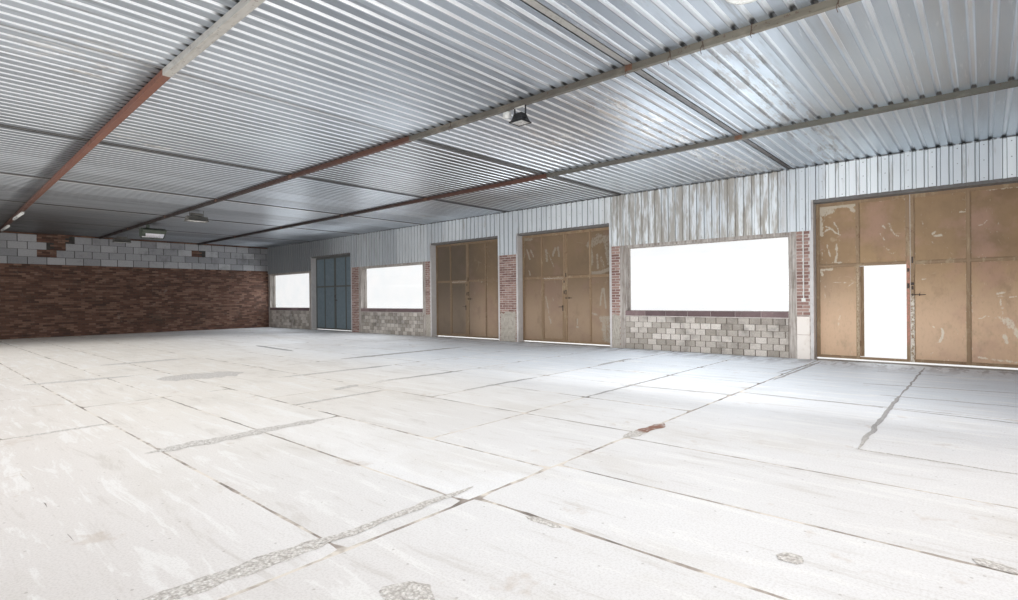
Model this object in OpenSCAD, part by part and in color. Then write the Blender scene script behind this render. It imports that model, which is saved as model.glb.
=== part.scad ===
// Single-storey steel-and-masonry workshop hall with four two-leaf gates.
// Millimetres, +Z up. The origin is at ground level under the middle of the plan.
// The front, with the gates, faces -Y. Bays count from the left as seen from the front.

/* [Hall] */
// Number of bays along the hall
bays = 7; // [7:1:7]
// Distance from each gable's inner face to the first bay line
end_margin = 120; // [90:5:300]
// Clear width of the hall between front and rear wall
hall_w = 14520; // [13800:20:17000]
// Height from floor to the underside of the ceiling sheets
ceiling_h = 4240; // [4000:10:4800]
// Thickness of the masonry walls
wall_t = 300; // [250:5:360]
// Slope of the roof in degrees
roof_slope = 4; // [2:0.5:8]

/* [Floor] */
// Thickness of the concrete bed under the floor panels
bed_t = 50; // [30:5:120]
// Thickness of the precast floor panels
panel_t = 150; // [100:5:200]
// Open joint between two floor panels
panel_gap = 15; // [8:1:30]
// Length of the panels that fill a row up to the right gable
panel_len = 1850; // [1500:50:3200]
// Shortest piece of a panel that is laid on its own
panel_min = 200; // [100:10:400]
// Length of the end field of wide panels, from the left gable
end_field = 3840; // [3600:10:4200]
// Depth of the rear field of long narrow panels, from the rear wall
rear_field = 4780; // [4400:10:5200]
// Rows of panels in the rear field
rear_rows = 5; // [4:1:6]
// Width of the single row between the rear field and the front field
mid_row = 1530; // [1300:10:1800]
// Joints of the end field, from the rear wall
end_cuts = [3930, 4910, 6060, 9410, 13160];
// Cross joints of the rows by the rear wall, from the left gable
rear_cuts = [8780, 11880, 14900];
// Cross joints of the rear field's two inner rows
inner_cuts = [7030, 10250, 13450];
// Cross joints of the single row
mid_cuts = [5350, 8130, 8920, 12000, 12780, 16000];
// Joints between the strips of the front field
strip_cuts = [5380, 7130, 8880, 10730, 12630];
// Numbers of panels in the strips of the front field, one after the other
strip_panels = [6, 6, 3, 4, 3];

/* [Windows] */
// How much narrower than its bay a window is
window_pier = 135; // [110:5:180]
// Height from floor to the window head
window_head = 2760; // [2400:10:2780]
// Height from floor to the top of the sill course
sill_top = 1030; // [800:5:1300]
// Height of the brick-on-edge sill course
sill_h = 145; // [100:5:200]
// How far the sill course stands in from the wall face
sill_nose = 12; // [5:1:30]
// Thickness of the block wall under a window
low_wall_t = 250; // [200:5:300]
// Width of the steel posts beside a window
post_w = 160; // [120:5:160]
// Depth of the steel head over a window
window_head_h = 100; // [80:5:140]
// Thickness of the window glass
glass_t = 8; // [6:1:12]
// Distance from the inner wall face to the glass
glass_set = 180; // [100:5:220]

/* [Gates] */
// Clear width between the jambs of a gate
gate_w = 3380; // [3000:10:3700]
// How much narrower than its bay a gate is
gate_pier = 865; // [800:5:1100]
// Height from floor to the gate head
gate_h = 3430; // [3200:10:3500]
// Width of a gate jamb
jamb_w = 65; // [60:5:110]
// Depth of the steel head over a gate
gate_head_h = 110; // [80:5:140]
// Depth of a gate leaf's frame
leaf_t = 60; // [40:2:70]
// Width of the outer stiles and rails of a leaf
stile_w = 60; // [40:2:80]
// Width of the mullion and the mid rail of a leaf
mullion_w = 50; // [30:2:70]
// Height from floor to the underside of the mid rail
mid_rail_z = 2020; // [1900:10:2200]
// Distance from a leaf's mullion to its free edge
wicket_side = 918; // [860:5:1000]
// Thickness of the boards in a leaf
board_t = 14; // [8:1:20]
// How far the boards lie behind the inner face of the leaf frame
board_set = 22; // [5:1:24]
// Gap under a gate leaf
leaf_lift = 40; // [20:2:80]
// Height of the bottom rail of a leaf
bottom_rail_h = 50; // [40:2:90]
// How far the leaves' outer face lies behind the outer wall face
leaf_back = 10; // [5:1:30]
// Gap between a leaf and the jamb or the head
leaf_gap = 8; // [6:1:12]
// Gap between the two leaves of a gate
meeting_gap = 8; // [6:1:12]
// Gap round a wicket door
wicket_gap = 6; // [5:1:10]
// Width of a wicket door's stiles
wicket_stile = 40; // [30:2:60]
// Angle at which the wicket of gate 1 stands open, in degrees
wicket_open = 115; // [0:5:120]
// Radius of the hinge knuckles
knuckle_r = 18; // [14:1:20]
// Length of one hinge knuckle
knuckle_len = 90; // [60:5:140]
// Thickness of the strap that ties a knuckle to its leaf
strap_t = 8; // [5:1:12]
// Distance from a leaf's ends to its first and last hinge
hinge_in = 400; // [250:10:600]
// Radius of a wicket door's knuckles
wicket_knuckle_r = 10; // [8:1:14]
// Length of a wicket door's knuckles
wicket_knuckle_len = 60; // [40:5:90]
// Distance from a wicket door's ends to its hinges
wicket_hinge_in = 275; // [150:5:400]
// Play between two knuckles that stand on each other
knuckle_play = 0.3; // [0.2:0.1:0.5]

/* [Sheeting] */
// Pitch of the ribs of the trapezoidal sheets
rib_pitch = 188; // [150:2:250]
// Depth of the ribs
rib_h = 35; // [25:1:45]
// Width of a rib at its top
rib_top = 36; // [20:1:45]
// Width of a rib at its foot
rib_foot = 74; // [50:1:80]
// Thickness of the sheets
sheet_t = 3; // [2:0.5:4]
// Gap between neighbouring wall sheets, on each side
sheet_play = 1; // [0.5:0.5:3]
// Height from floor to the lower edge of the lining over windows and piers
lining_low = 2830; // [2790:5:2850]
// Height from floor to the lower edge of the lining over a gate
lining_high = 3490; // [3460:5:3530]

/* [Gables] */
// Height of the brickwork between the light blocks and the ceiling sheets
gable_course_h = 60; // [50:5:150]
// Height of one row of the light blocks of a gable
block_row_h = 300; // [240:5:300]
// Number of rows of light blocks
block_rows = 4; // [3:1:4]

/* [Steelwork] */
// Width of a girder's flanges
flange_w = 80; // [70:5:160]
// Thickness of a girder's flanges
flange_t = 12; // [8:1:20]
// Thickness of a girder's web
web_t = 8; // [6:1:14]
// Depth of a girder over the walls
girder_end_h = 300; // [240:10:400]
// Open slit between the first girder's bottom flange and the ceiling sheets
slit = 18; // [8:1:30]
// Gap between a ceiling sheet and the web of a girder that the sheets cover
web_gap = 9; // [5:1:20]
// Distances of the three ceiling beams from the front wall
beam_at = [3425, 7345, 11080];
// Width of the box beam nearest the rear wall
box_beam_w = 90; // [70:5:120]
// Width of the other ceiling beams in the two left bays
beam_w = 60; // [50:5:100]
// Width of those beams in the other bays
primed_beam_w = 75; // [60:5:110]
// Depth of the ceiling beams in the two left bays
beam_h = 80; // [60:5:120]
// Depth of the ceiling beams in the other bays
primed_beam_h = 80; // [50:5:110]
// How far the right end of the beam nearest the rear wall is laid out of line, towards the front
beam_shift = 540; // [0:20:700]
// Wall thickness of the ceiling beams
beam_wall = 6; // [4:1:10]
// Depth of the beam along the top of the front and rear wall
eaves_beam_h = 180; // [140:5:240]
// Depth of the purlins
purlin_h = 120; // [100:5:160]
// Width of the purlins
purlin_w = 60; // [50:2:80]
// Thickness of the purlins
purlin_t = 5; // [3:0.5:8]
// Purlins on each slope
purlins_per_slope = 5; // [4:1:7]
// Width of the rails between the wall sheets
rail_w = 60; // [40:5:100]
// Overhang of the roof at the eaves
eaves_over = 220; // [120:10:400]
// Overhang of the roof at the gables
verge_over = 120; // [60:10:300]
// How far the purlins' ends stay behind the verge
purlin_in = 30; // [0:5:60]
// Width of the ridge cap on each slope
cap_w = 260; // [180:10:400]
// Play between the roof's sloping pieces where they rest on each other
seat_play = 0.3; // [0.1:0.1:0.5]

/* [Lamps] */
// Distance of the floodlight from the right gable
flood_from = 23840; // [23000:10:24600]
// Width of the floodlight, along the hall
flood_w = 240; // [200:10:400]
// Depth of the floodlight, across the hall
flood_d = 220; // [150:10:300]
// Height of the floodlight's body
flood_h = 140; // [80:5:180]
// Length of the floodlight's bracket
bracket_h = 100; // [40:5:150]
// Thickness of the floodlight's bracket
bracket_w = 40; // [20:2:60]
// Distance of the hooded lamp from the right gable
hood_from = 6500; // [5800:10:7200]
// Width of the hooded lamp, across the hall
hood_w = 720; // [600:10:800]
// How far the hooded lamp's middle is from the beam, towards the front wall
hood_shift = 220; // [150:10:260]
// Depth of the hooded lamp, along the hall
hood_d = 420; // [300:10:500]
// Height of the hood
hood_h = 360; // [250:10:420]
// Length of the hooded lamp's bracket
hood_drop = 120; // [60:5:180]
// Places of the two lamps on rods, from the right gable and from the front wall
rod_lamp_at = [[10480, 7060], [1880, 6990]];
// Width of a lamp on rods, across the hall
rod_lamp_w = 600; // [400:10:700]
// Depth of a lamp on rods, along the hall
rod_lamp_d = 350; // [250:10:450]
// Height of its body
rod_lamp_h = 150; // [100:5:220]
// Length of its rods
rod_h = 200; // [100:5:280]
// Width of its rods
rod_w = 20; // [10:1:30]
// Place of the disc lamp, from the right gable and from the front wall
disc_at = [27200, 8090];
// Radius of the disc lamp
disc_r = 200; // [150:10:280]
// Depth of the disc lamp
disc_h = 70; // [40:5:120]
// Distances of the tube fittings from the right gable
tube_at = [6230, 2300];
// Length of a tube fitting
tube_len = 1800; // [600:10:2000]
// Width of a tube fitting
tube_w = 60; // [50:5:120]
// Height of a tube fitting
tube_h = 70; // [50:5:100]
// Height of the boards at the foot of the pier by gate 1
casing_h = 920; // [700:10:1100]
// Height of the lower one of those boards
casing_low = 530; // [300:10:650]
// Joint between the two boards
casing_joint = 8; // [4:1:15]
// Thickness of those boards and of the ledge on them
casing_t = 20; // [12:1:30]
// How far the boards stop short of the pier's edges
casing_in = 12; // [5:1:30]
// Radius of the switch conduit
conduit_r = 12; // [8:1:16]
// Distance of the conduit from the pier's edge by the gate
conduit_in = 130; // [60:5:160]
// Height from floor to the end of the conduit
switch_z = 1350; // [1100:10:1500]
// Width and height of the switch
switch_w = 80; // [60:5:100]

/* [Hidden] */
$fn = 24;
// What stands in each bay of the front, from the left
KINDS = ["gate", "window", "gate", "gate", "window", "end_gate", "window"];
// A bay, girder line to girder line, is a gate and the wall between two gates
bay_len = gate_w + gate_pier;
window_w = bay_len - window_pier;
// The end gate stands against the post of the window beside it
end_gate_shift = (gate_pier + window_pier) / 2 - jamb_w - post_w;
hall_len = bays * bay_len + 2 * end_margin;
x_left = -hall_len / 2;
x_right = hall_len / 2;
y_front = -hall_w / 2;
y_rear = hall_w / 2;
floor_z = bed_t + panel_t;
ceiling_z = floor_z + ceiling_h;
eaves_z = ceiling_z - eaves_beam_h;
gate_z = floor_z + gate_h;
// Clearance between a knuckle and the face behind it
knuckle_clear = 4;
// Top of the girders over the outer wall face, and what the roof adds towards the ridge
girder_end_z = ceiling_z + girder_end_h;
half_depth = hall_w / 2 + wall_t;
ridge_rise = half_depth * tan(roof_slope);
girder_ridge_z = girder_end_z + ridge_rise;
// The gate leaves' inner face, and the line of their hinge pins
leaf_out_y = y_front - wall_t + leaf_back;
leaf_y = leaf_out_y + leaf_t;
hinge_y = y_front - wall_t - knuckle_r - knuckle_clear;
leaf_w = gate_w / 2 - leaf_gap - meeting_gap / 2;
mullion_at = leaf_w - wicket_side;
leaf_z = floor_z + leaf_lift;
leaf_top_z = gate_z - leaf_gap;
wicket_z = leaf_z + bottom_rail_h + wicket_gap;
wicket_top_z = floor_z + mid_rail_z - wicket_gap;
wicket_x0 = mullion_at + mullion_w + wicket_gap;
wicket_x1 = leaf_w - stile_w - wicket_gap;
// The line a wicket turns about, seen from its leaf's outer hinge corner
wicket_axis_x = wicket_x0 - wicket_gap / 2;
wicket_axis_y = -wicket_knuckle_r - knuckle_clear;
// Height at which a leaf's knuckles stand, and the wickets'
HINGES = [leaf_z + hinge_in, (leaf_z + leaf_top_z) / 2, leaf_top_z - hinge_in];
WICKET_HINGES = [wicket_z + wicket_hinge_in, wicket_top_z - wicket_hinge_in];
gable_block_top = ceiling_h - gable_course_h;
gable_brick_h = gable_block_top - block_rows * block_row_h;
// The eaves purlins lean outwards by the roof's slope, and stay behind the cladding
eaves_purlin_in = purlin_w / 2 + (purlin_h + purlin_w) * sin(roof_slope);
purlin_step = (half_depth - eaves_purlin_in - purlin_w) / (purlins_per_slope - 1);

function bay_x(i) = x_left + end_margin + bay_len * i;
function is_window(i) = KINDS[i] == "window";
// Underside of the ceiling beams at a place along the hall
function beam_low(x) = ceiling_z - (x < bay_x(2) ? beam_h : primed_beam_h);
// Middle of ceiling beam k at a place along the hall
function off_line(x) = beam_shift * max(0, x - bay_x(2)) / (x_right - bay_x(2));
function beam_y(k, x) = y_front + beam_at[k] - (k == 2 ? off_line(x) : 0);
function open_x(i) = bay_x(i) + bay_len / 2 + (KINDS[i] == "end_gate" ? end_gate_shift : 0);
function half_clear(i) = is_window(i) ? window_w / 2 : gate_w / 2;
function half_outer(i) = is_window(i) ? window_w / 2 + post_w : gate_w / 2 + jamb_w;
function roof_z(y) = girder_end_z + (half_depth - abs(y)) * tan(roof_slope);
// Bays that hold a gate, from the left: gates 1 to 4
GATES = [for (i = [0:bays - 1]) if (!is_window(i)) i];
WINDOWS = [for (i = [0:bays - 1]) if (is_window(i)) i];

// A box from two opposite corners
module block(a, b) {
    translate(a)
        cube(b - a);
}

// The piers stand between the openings: from the outer face of one to that of the next
module pier_row(y0, y1, low, top) {
    for (j = [0:bays]) {
        x0 = j == 0 ? x_left - wall_t : open_x(j - 1) + half_outer(j - 1);
        x1 = j == bays ? x_right + wall_t : open_x(j) - half_outer(j);
        if (x1 - x0 > 1)
            block([x0, y0, low], [x1, y1, top]);
    }
}

module mirror_rear() {
    children();
    mirror([0, 1, 0])
        children();
}

module plinth() {
    color("darkgray") {
        block([x_left - wall_t, y_front - wall_t, 0], [x_right + wall_t, y_front, floor_z]);
        block([x_left - wall_t, y_rear, 0], [x_right + wall_t, y_rear + wall_t, floor_z]);
        block([x_left - wall_t, y_front, 0], [x_left, y_rear, floor_z]);
        block([x_right, y_front, 0], [x_right + wall_t, y_rear, floor_z]);
    }
}

module floor_bed() {
    color("gray")
        block([x_left, y_front, 0], [x_right, y_rear, bed_t]);
}

// A panel between four joint lines, given from the left gable and from the rear wall
module panel(x0, x1, y0, y1) {
    if (x1 - x0 > panel_min && y1 - y0 > panel_min)
        block([x_left + x0 + panel_gap / 2, y_rear - y1 + panel_gap / 2, bed_t],
            [x_left + x1 - panel_gap / 2, y_rear - y0 - panel_gap / 2, floor_z]);
}

// Joints from start to stop: the given ones, then one after each panel length
function joints(start, given, stop) = let (last = given[len(given) - 1], inside = stop - panel_min)
    concat([start], given, [for (x = [last + panel_len:panel_len:inside]) x], [stop]);

module panel_row(cuts, y0, y1) {
    line = joints(end_field, cuts, hall_len);
    for (k = [1:len(line) - 1])
        panel(line[k - 1], line[k], y0, y1);
}

// An end field, rows along the rear wall and strips across the front half of the hall
module floor_panels() {
    row = rear_field / rear_rows;
    inner = rear_rows - 2;
    front = rear_field + mid_row;
    end_line = concat([0], end_cuts, [hall_w]);
    strips = joints(end_field, strip_cuts, hall_len);
    color("lightgray") {
        for (k = [1:len(end_line) - 1])
            panel(0, end_field, end_line[k - 1], end_line[k]);
        for (k = [0:rear_rows - 1])
            panel_row(k < inner ? rear_cuts : inner_cuts, k * row, (k + 1) * row);
        panel_row(mid_cuts, rear_field, front);
        for (k = [1:len(strips) - 1]) {
            count = strip_panels[(k - 1) % len(strip_panels)];
            step = (hall_w - front) / count;
            for (r = [0:count - 1])
                panel(strips[k - 1], strips[k], front + r * step, front + (r + 1) * step);
        }
    }
}

module brick_piers() {
    color("firebrick")
        mirror_rear()
            pier_row(y_front - wall_t, y_front, floor_z, eaves_z);
}

// Behind the gates' bays the rear wall is closed with blockwork up to the wall sheets
module rear_infill() {
    color("silver")
        for (i = GATES)
            block([open_x(i) - half_outer(i), y_rear, floor_z],
                [open_x(i) + half_outer(i), y_rear + wall_t, floor_z + lining_low]);
}

module window_walls() {
    color("gray")
        mirror_rear()
            for (i = WINDOWS)
                block([open_x(i) - window_w / 2, y_front - low_wall_t, floor_z],
                    [open_x(i) + window_w / 2, y_front, floor_z + sill_top - sill_h]);
}

module window_sills() {
    color("brown")
        mirror_rear()
            for (i = WINDOWS)
                block([open_x(i) - window_w / 2, y_front - wall_t, floor_z + sill_top - sill_h],
                    [open_x(i) + window_w / 2, y_front + sill_nose, floor_z + sill_top]);
}

module window_posts() {
    color("slategray")
        mirror_rear()
            for (i = WINDOWS)
                for (side = [-1, 1])
                    translate([open_x(i) + side * (window_w + post_w) / 2, y_front - wall_t, floor_z])
                        translate([-post_w / 2, 0, 0])
                            cube([post_w, wall_t, window_head + window_head_h]);
}

module window_heads() {
    color("slategray")
        mirror_rear()
            for (i = WINDOWS)
                translate([open_x(i) - window_w / 2, y_front - wall_t, floor_z + window_head])
                    cube([window_w, wall_t, window_head_h]);
}

module window_panes() {
    color("azure")
        mirror_rear()
            for (i = WINDOWS)
                block([open_x(i) - window_w / 2, y_front - glass_set - glass_t, floor_z + sill_top],
                    [open_x(i) + window_w / 2, y_front - glass_set, floor_z + window_head]);
}

module gate_jambs() {
    color("dimgray")
        for (i = GATES)
            for (x0 = [open_x(i) - gate_w / 2 - jamb_w, open_x(i) + gate_w / 2])
                block([x0, y_front - wall_t, floor_z], [x0 + jamb_w, y_front, gate_z + gate_head_h]);
}

module gate_heads() {
    color("dimgray")
        for (i = GATES)
            block([open_x(i) - gate_w / 2, y_front - wall_t, gate_z],
                [open_x(i) + gate_w / 2, y_front, gate_z + gate_head_h]);
}

// Lower knuckles on the jambs' outer faces, one under each knuckle of a leaf
module gate_hinges() {
    plate_w = (jamb_w - knuckle_r) / 2;
    color("dimgray")
        for (i = GATES)
            for (side = [-1, 1])
                for (z = HINGES)
                    translate([open_x(i) + side * (gate_w / 2 + knuckle_r / 2), hinge_y, z - knuckle_len])
                        mirror([side > 0 ? 0 : 1, 0, 0]) {
                            cylinder(r = knuckle_r, h = knuckle_len);
                            cube([plate_w, y_front - wall_t - hinge_y, knuckle_len]);
                        }
}

// A rail over each opening carries the lower edge of both skins of sheets
module wall_rails() {
    color("gray")
        mirror_rear()
            for (i = [0:bays - 1]) {
                low = is_window(i) ? floor_z + window_head + window_head_h : gate_z + gate_head_h;
                block([open_x(i) - half_outer(i), y_front - wall_t, low],
                    [open_x(i) + half_outer(i), y_front, low + rail_w]);
            }
}

module eaves_beams() {
    color("gray")
        mirror_rear()
            block([x_left - wall_t, y_front - wall_t, eaves_z], [x_right + wall_t, y_front, ceiling_z]);
}

// Trapezoidal profile along X from 0 to len: pans at the bottom, ribs upwards
function rib_points(x) = [[x - rib_foot / 2, 0], [x - rib_top / 2, rib_h - sheet_t],
    [x + rib_top / 2, rib_h - sheet_t], [x + rib_foot / 2, 0]];
function rib_line(len) = let (n = floor((len - rib_foot) / rib_pitch), m = (len - n * rib_pitch) / 2)
    [for (k = [0:n]) for (q = rib_points(m + k * rib_pitch)) q];
module sheet_profile(len) {
    line = concat([[0, 0]], rib_line(len), [[len, 0]]);
    up = [for (k = [len(line) - 1:-1:0]) line[k] + [0, sheet_t]];
    polygon(concat(line, up));
}

// A wall sheet standing up, its pans in the plane y = 0 and its ribs towards -Y
module wall_sheet(x0, x1, z0, z1) {
    translate([x0, 0, z0])
        mirror([0, 1, 0])
            linear_extrude(height = z1 - z0)
                sheet_profile(x1 - x0);
}

// One skin of wall sheets: low sheets beside the gates and short ones over them
module skin(x_start, x_end, top, gates) {
    edges = concat([x_start],
        [for (i = gates, side = [-1, 1]) open_x(i) + side * (half_clear(i) + jamb_w / 2)], [x_end]);
    for (k = [0:len(edges) - 2])
        wall_sheet(edges[k] + sheet_play, edges[k + 1] - sheet_play,
            floor_z + (k % 2 == 0 ? lining_low : lining_high), top);
}

module lining(gates) {
    translate([0, y_front + rib_h, 0])
        skin(x_left, x_right, ceiling_z, gates);
}

// The outer skin runs up to the underside of the roof sheets
module cladding(gates) {
    top = roof_z(half_depth + rib_h) + purlin_h / cos(roof_slope);
    translate([0, y_front - wall_t, 0])
        skin(x_left - wall_t, x_right + wall_t, top, gates);
}

module front_lining() {
    color("lightsteelblue")
        lining(GATES);
}

module rear_lining() {
    color("lightsteelblue")
        mirror([0, 1, 0])
            lining([]);
}

module front_cladding() {
    color("lightsteelblue")
        cladding(GATES);
}

module rear_cladding() {
    color("lightsteelblue")
        mirror([0, 1, 0])
            cladding([]);
}

// The same piece at both gables, drawn between two levels over the floor
module at_gables(low, high) {
    for (x0 = [x_left - wall_t, x_right])
        block([x0, y_front, floor_z + low], [x0 + wall_t, y_rear, floor_z + high]);
}

module gable_bricks() {
    color("indianred")
        at_gables(0, gable_brick_h);
}

module gable_blocks() {
    color("silver")
        at_gables(gable_brick_h, gable_block_top);
}

// Brickwork from the light blocks up to the roof slopes
module gable_heads() {
    low = floor_z + gable_block_top;
    color("indianred")
        for (x0 = [x_left - wall_t, x_right])
            translate([x0, 0, 0])
                rotate([90, 0, 90])
                    linear_extrude(height = wall_t)
                        polygon([[y_front, low], [y_rear, low], [y_rear, ceiling_z],
                            [half_depth, ceiling_z], [half_depth, girder_end_z], [0, girder_ridge_z],
                            [-half_depth, girder_end_z], [-half_depth, ceiling_z], [y_front, ceiling_z]]);
}

// Only the first girder's bottom flange lies open between the ceiling sheets.
// The sheets cover the flanges of the others, of which just the web comes down.
function flange_z(i) = ceiling_z + (i == 1 ? 0 : rib_h);
function sheet_in(i) = i == 1 ? flange_w / 2 + slit : web_t / 2 + web_gap;

// Built-up girder: level bottom flange, web and top flange that follow the roof
module girder(x, low) {
    translate([x, 0, 0])
        rotate([90, 0, 90]) {
            translate([0, 0, -web_t / 2])
                linear_extrude(height = web_t)
                    polygon([[-half_depth, ceiling_z], [half_depth, ceiling_z],
                        [half_depth, girder_end_z], [0, girder_ridge_z], [-half_depth, girder_end_z]]);
            translate([0, 0, -flange_w / 2])
                linear_extrude(height = flange_w)
                    union() {
                        polygon([[-half_depth, low], [half_depth, low],
                            [half_depth, low + flange_t], [-half_depth, low + flange_t]]);
                        polygon([[-half_depth, girder_end_z], [0, girder_ridge_z],
                            [half_depth, girder_end_z], [half_depth, girder_end_z - flange_t],
                            [0, girder_ridge_z - flange_t], [-half_depth, girder_end_z - flange_t]]);
                    }
        }
}

module girders() {
    color("dimgray")
        for (i = [1:bays - 1])
            girder(bay_x(i), flange_z(i));
}

// Solid bar from (x0, y0) to (x1, y1) with its ends square to X
module bar(x0, y0, x1, y1, w, h) {
    linear_extrude(height = h)
        polygon([[x0, y0 - w / 2], [x1, y1 - w / 2], [x1, y1 + w / 2], [x0, y0 + w / 2]]);
}

// Hollow section of ceiling beam k from x0 to x1 with its top at the ceiling
module hollow_beam(k, x0, x1, w, h) {
    y0 = beam_y(k, x0);
    y1 = beam_y(k, x1);
    lean = (y1 - y0) / (x1 - x0);
    difference() {
        translate([0, 0, ceiling_z - h])
            bar(x0, y0, x1, y1, w, h);
        translate([0, 0, ceiling_z - h + beam_wall])
            bar(x0 - 1, y0 - lean, x1 + 1, y1 + lean, w - 2 * beam_wall, h - 2 * beam_wall);
    }
}

module ceiling_beams() {
    color("tan")
        for (k = [0:len(beam_at) - 1])
            hollow_beam(k, x_left, bay_x(2), k == 2 ? box_beam_w : beam_w, beam_h);
}

module primed_beams() {
    color("saddlebrown")
        for (k = [0:len(beam_at) - 1])
            hollow_beam(k, bay_x(2), x_right, k == 2 ? box_beam_w : primed_beam_w, primed_beam_h);
}

// Sheets lie from girder to girder and bear on both walls
module ceiling_sheets() {
    color("gainsboro")
        for (i = [0:bays - 1]) {
            x0 = i == 0 ? x_left : bay_x(i) + sheet_in(i);
            x1 = i == bays - 1 ? x_right : bay_x(i + 1) - sheet_in(i + 1);
            translate([x0, y_rear + wall_t / 2, ceiling_z])
                rotate([90, 0, 0])
                    linear_extrude(height = hall_w + wall_t)
                        sheet_profile(x1 - x0);
        }
}

// Channel purlins on the girders' top flanges and the gable heads
module purlins() {
    color("gray")
        mirror_rear()
            for (k = [0:purlins_per_slope - 1]) {
                y = -half_depth + eaves_purlin_in + k * purlin_step;
                translate([x_left - wall_t - verge_over + purlin_in, y, roof_z(y) + seat_play])
                    rotate([roof_slope, 0, 0])
                        rotate([90, 0, 90])
                            linear_extrude(height = hall_len + 2 * (wall_t + verge_over - purlin_in))
                                channel();
            }
}

// Channel section: web upright, open towards the ridge
module channel() {
    difference() {
        translate([-purlin_w / 2, 0])
            square([purlin_w, purlin_h]);
        translate([-purlin_w / 2 + purlin_t, purlin_t])
            square([purlin_w, purlin_h - 2 * purlin_t]);
    }
}

// One slope of the roof, ribs down the slope
module roof_slope_sheets() {
    run = (half_depth + eaves_over) / cos(roof_slope);
    over_len = hall_len + 2 * (wall_t + verge_over);
    translate([-over_len / 2, 0, girder_ridge_z + purlin_h / cos(roof_slope) + 2 * seat_play])
        rotate([roof_slope, 0, 0])
            rotate([90, 0, 0])
                linear_extrude(height = run)
                    sheet_profile(over_len);
}

module front_roof_sheets() {
    color("silver")
        roof_slope_sheets();
}

module rear_roof_sheets() {
    color("silver")
        mirror([0, 1, 0])
            roof_slope_sheets();
}

// Folded cap over the ridge
module ridge_cap() {
    top = girder_ridge_z + (purlin_h + rib_h) / cos(roof_slope) + 3 * seat_play;
    drop = cap_w * tan(roof_slope);
    cap_len = hall_len + 2 * (wall_t + verge_over);
    color("silver")
        translate([-cap_len / 2, 0, top])
            rotate([90, 0, 90])
                linear_extrude(height = cap_len)
                    polygon([[-cap_w, -drop], [0, 0], [cap_w, -drop],
                        [cap_w, -drop + sheet_t], [0, sheet_t], [-cap_w, -drop + sheet_t]]);
}

// A leaf drawn with its hinge edge at x = 0 and its free edge at x = leaf_w.
// y = 0 is the outer face and +y the room side.
module leaf_frame() {
    h = leaf_top_z - leaf_z;
    rail = floor_z + mid_rail_z - leaf_z;
    difference() {
        cube([leaf_w, leaf_t, h]);
        for (col = [[stile_w, mullion_at], [mullion_at + mullion_w, leaf_w - stile_w]])
            for (row = [[bottom_rail_h, rail], [rail + mullion_w, h - stile_w]])
                translate([col[0], -1, row[0]])
                    cube([col[1] - col[0], leaf_t + 2, row[1] - row[0]]);
    }
}

module leaf_boards(wicket) {
    h = leaf_top_z - leaf_z;
    rail = floor_z + mid_rail_z - leaf_z;
    y0 = leaf_t - board_set - board_t;
    for (col = [0, 1])
        for (row = [0, 1])
            if (!(wicket && col == 1 && row == 0)) {
                x0 = col == 0 ? stile_w : mullion_at + mullion_w;
                x1 = col == 0 ? mullion_at : leaf_w - stile_w;
                z0 = row == 0 ? bottom_rail_h : rail + mullion_w;
                z1 = row == 0 ? rail : h - stile_w;
                block([x0 - 0.5, y0, z0 - 0.5], [x1 + 0.5, y0 + board_t, z1 + 0.5]);
            }
}

// Upper knuckles of a leaf, each standing on one of the frame's
module leaf_knuckles() {
    x = -leaf_gap - knuckle_r / 2;
    y = hinge_y - leaf_out_y;
    for (z = HINGES)
        translate([x, y, z - leaf_z + knuckle_play]) {
            cylinder(r = knuckle_r, h = knuckle_len);
            cube([leaf_gap + knuckle_r / 2 + stile_w, strap_t, knuckle_len]);
            translate([leaf_gap + knuckle_r / 2, 0, 0])
                cube([stile_w, -y, knuckle_len]);
        }
}

module leaf(wicket) {
    union() {
        leaf_frame();
        leaf_boards(wicket);
        leaf_knuckles();
        if (wicket)
            for (z = WICKET_HINGES)
                translate([wicket_axis_x, wicket_axis_y, z - leaf_z - wicket_knuckle_len])
                    wicket_knuckle(-1);
    }
}

// A small knuckle with the plate that ties it to the piece on one side of the gap
module wicket_knuckle(side) {
    cylinder(r = wicket_knuckle_r, h = wicket_knuckle_len);
    reach = wicket_gap / 2 + wicket_stile * 0.6;
    translate([side > 0 ? 0 : -reach, 0, 0])
        cube([reach, wicket_knuckle_r / 2, wicket_knuckle_len]);
    translate([side > 0 ? wicket_gap / 2 : -reach, 0, 0])
        cube([reach - wicket_gap / 2, -wicket_axis_y, wicket_knuckle_len]);
}

// Places a leaf drawing in gate g: side -1 hangs on the left jamb, side 1 on the right
module in_gate(g, side) {
    i = GATES[g - 1];
    translate([open_x(i) + side * (gate_w / 2 - leaf_gap), leaf_out_y, leaf_z])
        mirror([side > 0 ? 1 : 0, 0, 0])
            children();
}

module wicket_door() {
    w = wicket_x1 - wicket_x0;
    h = wicket_top_z - wicket_z;
    union() {
        difference() {
            cube([w, leaf_t, h]);
            translate([wicket_stile, -1, wicket_stile])
                cube([w - 2 * wicket_stile, leaf_t + 2, h - 2 * wicket_stile]);
        }
        block([wicket_stile - 0.5, leaf_t - board_set - board_t, wicket_stile - 0.5],
            [w - wicket_stile + 0.5, leaf_t - board_set, h - wicket_stile + 0.5]);
    }
}

// The wicket turns about a line just outside its hinge edge
module placed_wicket(g, open) {
    in_gate(g, 1)
        translate([wicket_axis_x, wicket_axis_y, 0])
            rotate([0, 0, -open]) {
                translate([wicket_gap / 2, -wicket_axis_y, wicket_z - leaf_z])
                    wicket_door();
                for (z = WICKET_HINGES)
                    translate([0, 0, z - leaf_z + knuckle_play])
                        wicket_knuckle(1);
            }
}

module gate_1_left_leaf() {
    color("peru")
        in_gate(1, -1)
            leaf(false);
}

module gate_1_right_leaf() {
    color("peru")
        in_gate(1, 1)
            leaf(true);
}

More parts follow.
